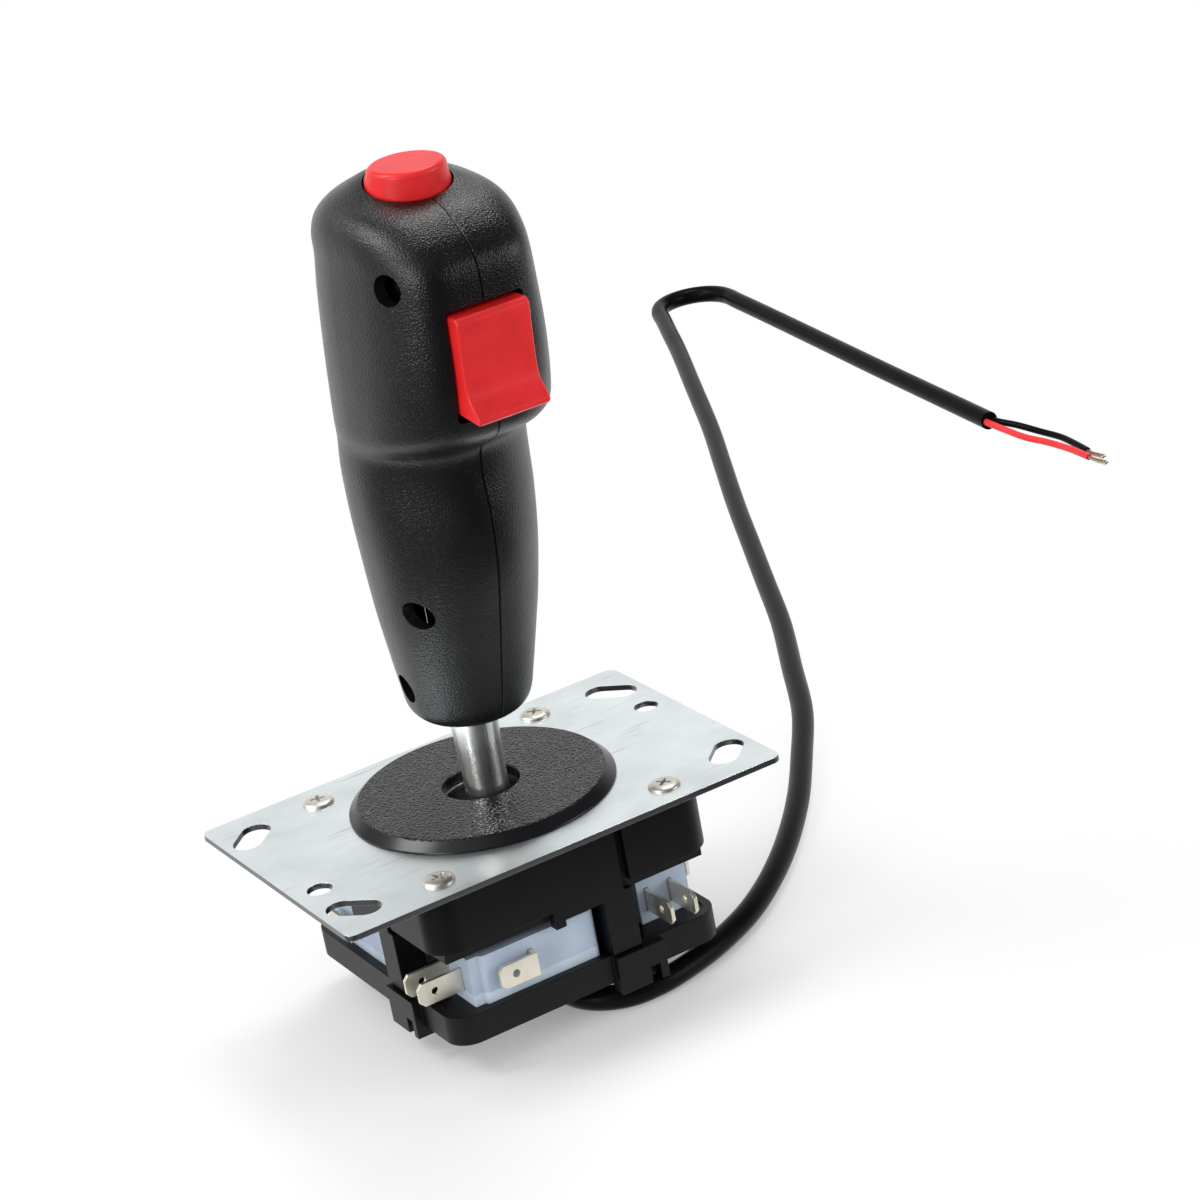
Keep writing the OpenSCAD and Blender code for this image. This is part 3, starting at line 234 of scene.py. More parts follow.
def add(tree, kind, values=None, links=None):
    """Adds a shader node with its links; values go to inputs, a colour ramp's stops or properties."""
    made = tree.nodes.new("ShaderNode" + kind)
    for key, value in (values or {}).items():
        if key == "stops":
            points = made.color_ramp.elements
            while len(points) < len(value):
                points.new(0.5)
            for point, (place, colour) in zip(points, value):
                point.position = place
                point.color = colour
        elif isinstance(key, int) or key in made.inputs:
            made.inputs[key].default_value = value
        else:
            setattr(made, key, value)
    for key, source in (links or {}).items():
        tree.links.new(source, made.inputs[key])
    return made


def per(millimetres):
    """Texture scale whose pattern repeats about every so many millimetres."""
    return 1 / (millimetres * MM)


def tone(colour, factor):
    """The same colour, lighter or darker."""
    return tuple(min(c * factor, 1.0) for c in colour[:3]) + (1.0,)


def new_material(name):
    """A new material and its node tree, still empty."""
    made = bpy.data.materials.new(name)
    made.use_nodes = True
    made.node_tree.nodes.clear()
    return made, made.node_tree


def start_finish(name):
    """A new material, its node tree, and the place on the piece that its patterns read."""
    made, tree = new_material(name)
    return made, tree, add(tree, "TexCoord").outputs["Object"]


def mottled(tree, place, stops, width, detail):
    """Clouds about so many millimetres wide: their value, and colours from stops along it."""
    cloud = add(tree, "TexNoise", {"Scale": per(width), "Detail": detail}, {"Vector": place})
    value = cloud.outputs["Fac"]
    return value, add(tree, "ValToRGB", {"stops": stops}, {"Fac": value}).outputs["Color"]


def end_finish(tree, values, links, height, depth, strength):
    """Ends a finish: bump of a height pattern, its depth in millimetres, then surface and output."""
    bump = add(tree, "Bump", {"Strength": strength, "Distance": depth * MM}, {"Height": height})
    links["Normal"] = bump.outputs["Normal"]
    surface = add(tree, "BsdfPrincipled", values, links)
    add(tree, "OutputMaterial", links={"Surface": surface.outputs["BSDF"]})


def moulded(name, colour, roughness, grain, specular=0.45, depth=0.03, strength=0.3):
    """Moulded plastic: soft cloudy colour, slightly uneven gloss and the grain of the mould."""
    made, tree, place = start_finish(name)
    stops = ((0.3, tone(colour, 0.86)), (0.7, tone(colour, 1.14)))
    cloud, shades = mottled(tree, place, stops, width=9, detail=3)
    gloss = add(
        tree, "MapRange", {"To Min": roughness - 0.05, "To Max": roughness + 0.07}, {"Value": cloud}
    )
    pebbles = add(tree, "TexNoise", {"Scale": per(grain), "Detail": 2}, {"Vector": place})
    links = {"Base Color": shades, "Roughness": gloss.outputs["Result"]}
    end_finish(tree, {"Specular IOR Level": specular}, links, pebbles.outputs["Fac"], depth, strength)
    return made


def plated(name, colour, roughness, streak=(1, 1, 1), stain=0.25):
    """Plated metal: bright, with a cloudy film and fine streaks from rolling or turning."""
    made, tree, place = start_finish(name)
    stops = ((0.3, tone(colour, 1 - stain)), (0.62, colour))
    _, shades = mottled(tree, place, stops, width=7, detail=4)
    # Streaks are drawn about 1 mm wide, coarser than real ones, to show
    stretched = add(tree, "Mapping", {"Scale": streak}, {"Vector": place})
    streaks = add(
        tree, "TexNoise", {"Scale": per(1), "Detail": 3}, {"Vector": stretched.outputs["Vector"]}
    ).outputs["Fac"]
    gloss = add(
        tree, "MapRange", {"To Min": roughness * 0.75, "To Max": roughness * 1.3}, {"Value": streaks}
    )
    links = {"Base Color": shades, "Roughness": gloss.outputs["Result"]}
    end_finish(tree, {"Metallic": 1}, links, streaks, depth=0.01, strength=0.3)
    return made


def zinc_plate(colour, scratch_colour, edge_colour):
    """Zinc-plated pressed steel: pale bluish half-matt sheet, cloudy, scratched, dark at the cuts."""
    made, tree, place = start_finish("zinc_plated_steel")
    stops = ((0.28, tone(colour, 0.9)), (0.5, colour), (0.74, tone(colour, 1.06)))
    cloud, sheet = mottled(tree, place, stops, width=11, detail=5)
    # Hairline scratches run along the sheet; drawn about 0.8 mm wide, coarser than real ones, to show
    along = add(tree, "Mapping", {"Rotation": (0, 0, 0.35), "Scale": (0.06, 1, 1)}, {"Vector": place})
    scratch = add(
        tree, "TexNoise", {"Scale": per(0.8), "Detail": 4}, {"Vector": along.outputs["Vector"]}
    ).outputs["Fac"]
    marks = add(
        tree, "MapRange", {"From Min": 0.62, "From Max": 0.78, "To Min": 0, "To Max": 0.45},
        {"Value": scratch},
    )
    worn = add(
        tree, "Mix", {"data_type": "RGBA", 7: scratch_colour}, {0: marks.outputs["Result"], 6: sheet}
    )
    # Faces that don't look up or down, the sheet's cut edge, are painted a darker colour; this mask says
    # where
    outwards = add(tree, "NewGeometry").outputs["Normal"]
    facing = add(tree, "SeparateXYZ", links={0: outwards})
    upright = add(tree, "Math", {"operation": "ABSOLUTE"}, {0: facing.outputs["Z"]})
    bare = add(
        tree, "MapRange", {"From Min": 0.2, "From Max": 0.75, "To Min": 1, "To Max": 0},
        {"Value": upright.outputs["Value"]},
    )
    edged = add(
        tree, "Mix", {"data_type": "RGBA", 7: edge_colour},
        {0: bare.outputs["Result"], 6: worn.outputs[2]},
    )
    gloss = add(tree, "MapRange", {"To Min": 0.28, "To Max": 0.42}, {"Value": cloud})
    links = {"Base Color": edged.outputs[2], "Roughness": gloss.outputs["Result"]}
    end_finish(tree, {"Metallic": 1}, links, scratch, depth=0.02, strength=0.35)
    return made


def leather_washer(colour, grain):
    """Moulded vinyl: leather-grained top of rounded cells with creases, smooth satin rim."""
    made, tree, place = start_finish("leather_grain_vinyl")
    stops = ((0.3, tone(colour, 0.8)), (0.7, tone(colour, 1.15)))
    _, shades = mottled(tree, place, stops, width=6, detail=3)
    # Cells are pushed about by up to 1.1 mm, so that they look grown
    warp = add(tree, "TexNoise", {"Scale": per(2.2), "Detail": 2}, {"Vector": place})
    moved = add(
        tree, "VectorMath", {"operation": "MULTIPLY_ADD", 1: (1.1 * MM,) * 3},
        {0: warp.outputs["Color"], 2: place},
    )
    cells = add(
        tree, "TexVoronoi", {"feature": "DISTANCE_TO_EDGE", "Scale": per(grain)},
        {"Vector": moved.outputs["Vector"]},
    )
    mounds = add(
        tree, "MapRange", {"From Min": 0, "From Max": 0.28, "interpolation_type": "SMOOTHSTEP"},
        {"Value": cells.outputs["Distance"]},
    )
    # The grain is on the top alone and starts just below it
    level = add(tree, "SeparateXYZ", links={0: place})
    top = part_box("dust_washer")[1].z
    on_top = add(
        tree, "MapRange", {"From Min": top - 0.25 * MM, "From Max": top - 0.1 * MM},
        {"Value": level.outputs["Z"]},
    )
    height = add(
        tree, "Math", {"operation": "MULTIPLY"},
        {0: mounds.outputs["Result"], 1: on_top.outputs["Result"]},
    ).outputs["Value"]
    surface = {"Roughness": 0.24, "Specular IOR Level": 0.32}
    end_finish(tree, surface, {"Base Color": shades}, height, depth=0.1, strength=0.8)
    return made


FINISHES = {}


def finishes(context):
    """All finishes by the record's slot, made once; grain and depth are in millimetres."""
    if FINISHES:
        return FINISHES
    colours = context.scene.joystick_colours
    sizes = context.scene.joystick_sizes
    pebble = sizes.grip_grain / MM
    chalk = {"grain": 0.7, "specular": 0.4, "strength": 0.4}
    FINISHES.update({
        # Spark-eroded ABS: satin black, with a pebble that glitters at a low angle and is drawn
        # coarser than the real one, to show
        "grip_black": moulded(
            "spark_textured_abs", colours.grip, 0.29, pebble, specular=0.48, depth=0.14, strength=1
        ),
        # Plain moulded ABS: dull black with faint flow marks
        "black_plastic": moulded(
            "moulded_black_abs", colours.base, 0.36, grain=2.2, specular=0.2, depth=0.05, strength=0.25
        ),
        # Moulded ABS: clear saturated red with a soft sheen
        "red_plastic": moulded("moulded_red_abs", colours.red, 0.36, grain=0.9, specular=0.32),
        # Glass-filled polyester: chalky blue-grey; the cases are darker than the covers, partly painted
        # shade from the plate above
        "switch_case": moulded("blue_grey_polyester", colours.switch_case, 0.52, **chalk),
        "switch_cover": moulded("blue_grey_polyester_cover", colours.switch_cover, 0.5, **chalk),
        # Natural nylon and acetal: milky and soft
        "nylon": moulded("natural_nylon", colours.nylon, 0.45, grain=1.4),
        "plunger_plastic": moulded("white_acetal", colours.nylon, 0.4, grain=1.4, depth=0.02),
        # Soft PVC: slight ripples from the extruder, dull on the sheath and glossier on the red lead
        "cable_black": moulded(
            "black_pvc", colours.cable, 0.3, grain=2.5, specular=0.06, depth=0.05, strength=0.35
        ),
        "lead_red": moulded("red_pvc", colours.lead, 0.4, grain=1.6, depth=0.05),
        # Vinyl: black, glossy on the mounds of its leather grain
        "washer_black": leather_washer(colours.washer, sizes.leather_grain / MM),
        # Zinc: pale and bluish, with clouds and scratches
        "plate_zinc": zinc_plate(colours.zinc, colours.scratch, colours.cut_edge),
        # Nickel plate: warm bright white metal
        "screw_nickel": plated("nickel_plated_steel", colours.nickel, 0.4),
        # Tinned brass: softer, slightly yellow
        "tab_tin": plated("tinned_brass", colours.tin, 0.4, streak=(1, 1, 0.15), stain=0.12),
        # Bright plate over drawn tube: long reflections and faint upright streaks
        "shaft_plated": plated("bright_plated_tube", colours.chrome, 0.28, streak=(1, 1, 0.05), stain=0.06),
        # Spring steel: plain grey metal
        "steel": plated("spring_steel", colours.steel, 0.32, stain=0.2),
        # Tinned copper: warm pale metal
        "strand_copper": plated("tinned_copper", colours.copper, 0.3, streak=(1, 0.2, 1)),
    })
    return FINISHES


def add_piece(context, name, data, nodes):
    """Adds a piece that stands for CAD nodes, rides on their body and takes their finish."""
    made = bpy.data.objects.new(name, data)
    context.scene.collection.objects.link(made)
    slot = SLOT_OF[nodes[0]]
    data.materials.clear()
    data.materials.append(finishes(context)[slot])
    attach(made, BODY_OF[nodes[0]])
    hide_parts(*nodes)
    return made


def add_solid(context, name, mesh, nodes, smooth):
    """Adds a solid piece, shaded smooth across edges up to an angle in degrees."""
    made = add_piece(context, name, mesh, nodes)
    mesh.polygons.foreach_set("use_smooth", [True] * len(mesh.polygons))
    mesh.set_sharp_from_angle(angle=math.radians(smooth))
    # Flat faces stay flat in the light beside their rounded edges
    made.modifiers.new("flats", "WEIGHTED_NORMAL").keep_sharp = True


def to_mesh(bm, name):
    """Ends a bmesh and gives its mesh, in metres from millimetres."""
    bmesh.ops.scale(bm, vec=(MM,) * 3, verts=bm.verts)
    mesh = bpy.data.meshes.new(name)
    bm.to_mesh(mesh)
    bm.free()
    return mesh


def turned(profile, steps):
    """Closed solid of a profile of radius and height, turned about Z."""
    bm = bmesh.new()
    line = [bm.verts.new((r, 0, z)) for r, z in profile]
    edges = [bm.edges.new(pair) for pair in zip(line, line[1:])]
    bmesh.ops.spin(
        bm, geom=line + edges, cent=(0, 0, 0), axis=(0, 0, 1), angle=math.tau, steps=steps, use_merge=True
    )
    bmesh.ops.remove_doubles(bm, verts=bm.verts, dist=1e-5)
    bmesh.ops.recalc_face_normals(bm, faces=bm.faces)
    return bm


def round_edges(bm, edges, radius, segments):
    """Rounds edges of a solid."""
    bmesh.ops.bevel(
        bm, geom=edges, offset=radius, offset_type="OFFSET", affect="EDGES", segments=segments,
        profile=0.5, material=-1, clamp_overlap=True,
    )


def sharp_edges(bm, angle):
    """Edges of a solid whose faces turn by more than an angle in degrees."""
    limit = math.radians(angle)
    return [e for e in bm.edges if len(e.link_faces) == 2 and e.calc_face_angle() > limit]


def add_rounded(context, name, node, radius):
    """Adds a merged copy of a CAD node, its flat faces joined up and its sharp edges rounded."""
    bm = bmesh.new()
    bm.from_mesh(FRAME["nodes"][node].data)
    bmesh.ops.scale(bm, vec=(1 / MM,) * 3, verts=bm.verts)
    bmesh.ops.remove_doubles(bm, verts=bm.verts, dist=1e-3)
    bmesh.ops.dissolve_limit(
        bm, angle_limit=math.radians(1.5), use_dissolve_boundaries=False, verts=bm.verts, edges=bm.edges
    )
    round_edges(bm, sharp_edges(bm, angle=40), radius, segments=2)
    add_solid(context, name, to_mesh(bm, name), (node,), smooth=35)


def cut(mesh, tools, tangled=False):
    """Mesh after joining and cutting with solids, given as pairs of operation and mesh."""
    scene = bpy.context.scene
    body = bpy.data.objects.new("work", mesh)
    scene.collection.objects.link(body)
    held = []
    for operation, tool in tools:
        made = bpy.data.objects.new("tool", tool)
        scene.collection.objects.link(made)
        step = body.modifiers.new("step", "BOOLEAN")
        step.operation = operation
        step.solver = "EXACT"
        step.use_self = tangled
        step.object = made
        held.append(made)
    result = modified(body)
    for made in held:
        bpy.data.objects.remove(made)
    return result


def modified(body):
    """Mesh of a helper object with its modifiers applied; the object goes."""
    bpy.context.view_layer.update()
    graph = bpy.context.evaluated_depsgraph_get()
    result = bpy.data.meshes.new_from_object(body.evaluated_get(graph))
    bpy.data.objects.remove(body)
    return result


def rod(radius, x0, x1, y, z):
    """Rod along X between two places, in either order, as a mesh in metres."""
    bm = bmesh.new()
    middle = Matrix.Translation(((x0 + x1) / 2, y, z))
    bmesh.ops.create_cone(
        bm, cap_ends=True, segments=40, radius1=radius, radius2=radius, depth=abs(x1 - x0),
        matrix=middle @ Matrix.Rotation(math.pi / 2, 4, "Y"),
    )
    return to_mesh(bm, "rod")


def block(low, high, radius):
    """Box between two corners, rounded all over, as a mesh in metres."""
    bm = bmesh.new()
    bmesh.ops.create_cube(bm, size=1)
    bmesh.ops.scale(bm, vec=[b - a for a, b in zip(low, high)], verts=bm.verts)
    bmesh.ops.translate(bm, vec=[(a + b) / 2 for a, b in zip(low, high)], verts=bm.verts)
    round_edges(bm, sharp_edges(bm, angle=40), radius, segments=4)
    return to_mesh(bm, "block")


def smooth_points(points, steps):
    """Smooth curve through points of any dimension, with so many steps to each stretch."""
    made = []
    last = len(points) - 1
    for i in range(last):
        a, b, c, d = (points[min(max(k, 0), last)] for k in (i - 1, i, i + 1, i + 2))
        for k in range(steps):
            t = k / steps
            made.append(tuple(
                0.5 * (
                    2 * q + (r - p) * t + (2 * p - 5 * q + 4 * r - s) * t * t
                    + (3 * q - p - 3 * r + s) * t ** 3
                )
                for p, q, r, s in zip(a, b, c, d)
            ))
    made.append(tuple(points[last]))
    return made


def grip_point(station, turn):
    """Place on the grip's right half at a station, from its front (0) to its back (pi)."""
    height, front, back, half, squareness, narrow, rise = station
    power = 2 / (squareness if turn < math.pi / 2 else GRIP_BACK_SQUARENESS)
    along = math.cos(turn)
    ahead = math.copysign(abs(along) ** power, along)
    y = (back - front) / 2 - (front + back) / 2 * ahead
    x = half * abs(math.sin(turn)) ** power * (1 - narrow * max(ahead, 0) ** 2)
    return Vector((x, y, Z_GRIP + height + rise * (y - BUTTON_Y)))


def in_button(bm):
    """Moves a solid from the thumb button's frame, axis up and grip's top at 0, to its place."""
    lean = Matrix.Rotation(math.radians(BUTTON_TILT), 4, "X")
    place = Matrix.Translation((0, BUTTON_Y, Z_GRIP + GRIP_TOP))
    bmesh.ops.transform(bm, matrix=place @ lean, verts=bm.verts)


class JOYSTICK_OT_stage(bpy.types.Operator):
    """Adds the camera, the world, the pale floor, a card for reflections and the soft lamps"""

    bl_idname = "joystick.stage"
    bl_label = "Stage"

    # Camera at the photograph's view: metres and degrees, but lens and sensor in millimetres
    CAMERA_PLACE = (-0.268851, -0.587232, 0.336697)
    CAMERA_TURN = (67.708, 9.769, -31.11)
    CAMERA_LENS = 108
    CAMERA_SENSOR = 36
    CAMERA_NEAR = 0.01

    # Soft lamps: name, place, aim and width in metres, power in watts
    LAMPS = (
        ("key_left", (-0.92, -0.3, 0.26), (0, -0.01, 0.1), 0.32, 3.2),
        ("rim_left", (-0.6, 0.3, 0.85), (0, -0.01, 0.12), 0.44, 4.8),
        ("top_right", (0.36, 0.28, 0.95), (0, 0, 0.08), 0.4, 3.6),
        ("fill_right", (0.78, -0.68, 0.25), (0, -0.01, 0.1), 0.6, 3),
    )

    # What gloss sees of the studio: dim, with three bright parts. Each has a direction, the dot
    # products with it at which the part begins and is full, and its level
    STUDIO_DIM = 0.05
    STUDIO_PARTS = (
        ((0.42, 0.9, -0.6), 0.22, 0.7, 1),
        ((-0.85, -0.4, -0.35), 0.8, 0.98, 0.26),
        ((-0.8, 0.1, 0.59), 0.5, 0.95, 1),
    )
    EVEN_LIGHT = 0.88

    # Floor and card: radius and middle in millimetres
    FLOOR = (380, (110, 180, -0.1))
    CARD = (85, (8, -5, -0.08))
    CARD_GLOW = 0.9

    # Shadow on the floor: its middle, where its fading begins and ends, in metres, and the white in it
    SHADOW_MIDDLE = (-0.02, -0.04, 0)
    SHADOW_FADE = (0.06, 0.16)
    SHADOW_WHITE = 0.25

    def execute(self, context):
        scene = context.scene
        scene.view_settings.view_transform = "Standard"
        self.camera(scene)
        self.world(scene)
        self.floor(scene)
        self.card(scene)
        for name, place, aim, width, power in self.LAMPS:
            data = bpy.data.lights.new(name, "AREA")
            data.shape = "DISK"
            data.size = width
            data.energy = power
            lamp = bpy.data.objects.new(name, data)
            lamp.location = place
            lamp.rotation_euler = (Vector(aim) - Vector(place)).to_track_quat("-Z", "Y").to_euler()
            scene.collection.objects.link(lamp)
        return {"FINISHED"}

    def camera(self, scene):
        """Camera at the photograph's view."""
        data = bpy.data.cameras.new("camera")
        data.lens = self.CAMERA_LENS
        data.sensor_width = self.CAMERA_SENSOR
        data.sensor_fit = "HORIZONTAL"
        data.clip_start = self.CAMERA_NEAR
        camera = bpy.data.objects.new("camera", data)
        camera.location = self.CAMERA_PLACE
        camera.rotation_euler = [math.radians(a) for a in self.CAMERA_TURN]
        scene.collection.objects.link(camera)
        scene.camera = camera

    def world(self, scene):
        """White for the camera, a dim studio with bright parts in gloss, and soft even light."""
        world = bpy.data.worlds.new("studio")
        scene.world = world
        world.use_nodes = True
        tree = world.node_tree
        tree.nodes.clear()
        path = add(tree, "LightPath").outputs
        way = add(tree, "TexCoord").outputs["Generated"]
        studio = None
        for towards, start, end, level in self.STUDIO_PARTS:
            facing = add(tree, "VectorMath", {"operation": "DOT_PRODUCT", 1: towards}, {0: way})
            part = add(
                tree, "MapRange",
                {"From Min": start, "From Max": end, "To Min": self.STUDIO_DIM, "To Max": level},
                {"Value": facing.outputs["Value"]},
            ).outputs["Result"]
            if studio is not None:
                brighter = add(tree, "Math", {"operation": "MAXIMUM"}, {0: studio, 1: part})
                part = brighter.outputs["Value"]
            studio = part
        lit = add(tree, "Mix", {2: self.EVEN_LIGHT}, {0: path["Is Glossy Ray"], 3: studio})
        seen = add(
            tree, "Math", {"operation": "MAXIMUM"},
            {0: path["Is Camera Ray"], 1: path["Is Transmission Ray"]},
        )
        most = add(tree, "Math", {"operation": "MAXIMUM"}, {0: lit.outputs[0], 1: seen.outputs["Value"]})
        sky = add(tree, "Background", {"Color": WHITE}, {"Strength": most.outputs["Value"]})
        add(tree, "OutputWorld", links={"Surface": sky.outputs["Background"]})

    def floor(self, scene):
        """White floor that shows part of the object's shadow and fades to plain white away from it."""
        paint, tree = new_material("white_sweep")
        path = add(tree, "LightPath")
        matt = add(tree, "BsdfDiffuse", {"Color": linear("#dadada")})
        glow = add(tree, "Emission", {"Color": WHITE, "Strength": 1})
        place = add(tree, "TexCoord").outputs["Object"]
        away = add(tree, "VectorMath", {"operation": "DISTANCE", 1: self.SHADOW_MIDDLE}, {0: place})
        start, end = self.SHADOW_FADE
        fade = add(
            tree, "MapRange",
            {"From Min": start, "From Max": end, "To Min": self.SHADOW_WHITE, "To Max": 1},
            {"Value": away.outputs["Value"]},
        )
        seen = add(
            tree, "Math", {"operation": "MULTIPLY"},
            {0: path.outputs["Is Camera Ray"], 1: fade.outputs["Result"]},
        )
        both = add(
            tree, "MixShader",
            links={0: seen.outputs["Value"], 1: matt.outputs["BSDF"], 2: glow.outputs["Emission"]},
        )
        add(tree, "OutputMaterial", links={"Surface": both.outputs["Shader"]})
        floor = self.disc(scene, "floor", *self.FLOOR, paint)
        floor.visible_glossy = False

    def card(self, scene):
        """White card under the base, seen only in reflections: the bright ground near the tabs."""
        paint, tree = new_material("white_card")
        glow = add(tree, "Emission", {"Color": WHITE, "Strength": self.CARD_GLOW})
        add(tree, "OutputMaterial", links={"Surface": glow.outputs["Emission"]})
        card = self.disc(scene, "card", *self.CARD, paint)
        card.visible_camera = False
        card.visible_diffuse = False
        card.visible_shadow = False
        card.visible_transmission = False

    def disc(self, scene, name, radius, middle, paint):
        """Flat disc of the stage, painted."""
        bm = bmesh.new()
        bmesh.ops.create_circle(bm, cap_ends=True, segments=96, radius=radius)
        bmesh.ops.translate(bm, vec=middle, verts=bm.verts)
        made = bpy.data.objects.new(name, to_mesh(bm, name))
        scene.collection.objects.link(made)
        made.data.materials.append(paint)
        return made


class JOYSTICK_OT_cable(bpy.types.Operator):
    """Lays the cable with its two leads and their bare strands"""

    bl_idname = "joystick.cable"
    bl_label = "Cable"

    # Steps between two points of a route
    STEPS = 8
    LEAD_STEPS = 6

    def execute(self, context):
        route = smooth_points(CABLE_ROUTE, self.STEPS)
        sheath = self.cord(context, "cable", [route], CABLE_D, ("cable_sheath", "cable_entry"))
        lead = smooth_points(LEAD_RED_ROUTE, self.LEAD_STEPS)
        red = self.cord(context, "lead_red_wire", [lead], LEAD_D, ("lead_red",))
        lead = smooth_points(LEAD_BLACK_ROUTE, self.LEAD_STEPS)
        black = self.cord(context, "lead_black_wire", [lead], LEAD_D, ("lead_black",))
        strands = self.cord(context, "bare_strands", self.strand_routes(), STRAND_D, ("lead_strands",))
        return {"FINISHED"}

    def cord(self, context, name, routes, diameter, nodes):
        """Adds round cords of one piece, through lists of points in millimetres."""
        curve = bpy.data.curves.new(name, "CURVE")
        curve.dimensions = "3D"
        curve.bevel_depth = diameter / 2 * MM
        curve.bevel_resolution = 6
        curve.use_fill_caps = True
        for route in routes:
            spline = curve.splines.new("POLY")
            spline.points.add(len(route) - 1)
            for point, place in zip(spline.points, route):
                point.co = (*(x * MM for x in place), 1)
            spline.use_smooth = True
        return add_piece(context, name, curve, nodes)

    def strand_routes(self):
        """Routes of the bare strands of both leads."""
        routes = []
        for middle in (STRAND_RED_ROUTE, STRAND_BLACK_ROUTE):
            line = smooth_points(middle, self.STEPS)
            last = len(line) - 1
            for k in range(STRANDS):
                routes.append([self.strand_point(k, *place, i / last) for i, place in enumerate(line)])
        return routes

    def strand_point(self, k, x, y, share):
        """Place on a strand at a share of its length: the others twist round the first."""
        turn = math.tau * (k / (STRANDS - 1) + STRAND_TWIST * share)
        off = (STRAND_D if k else 0) * (1 + STRAND_SPLAY * share ** 2)
        ahead = STRAND_UNEVEN * (k % 3) * share
        drop = (LEAD_FLOOR - STRAND_D / 2) * STRAND_DROP * share
        return x + off * math.cos(turn), y + ahead, LEAD_FLOOR + off * math.sin(turn) - drop


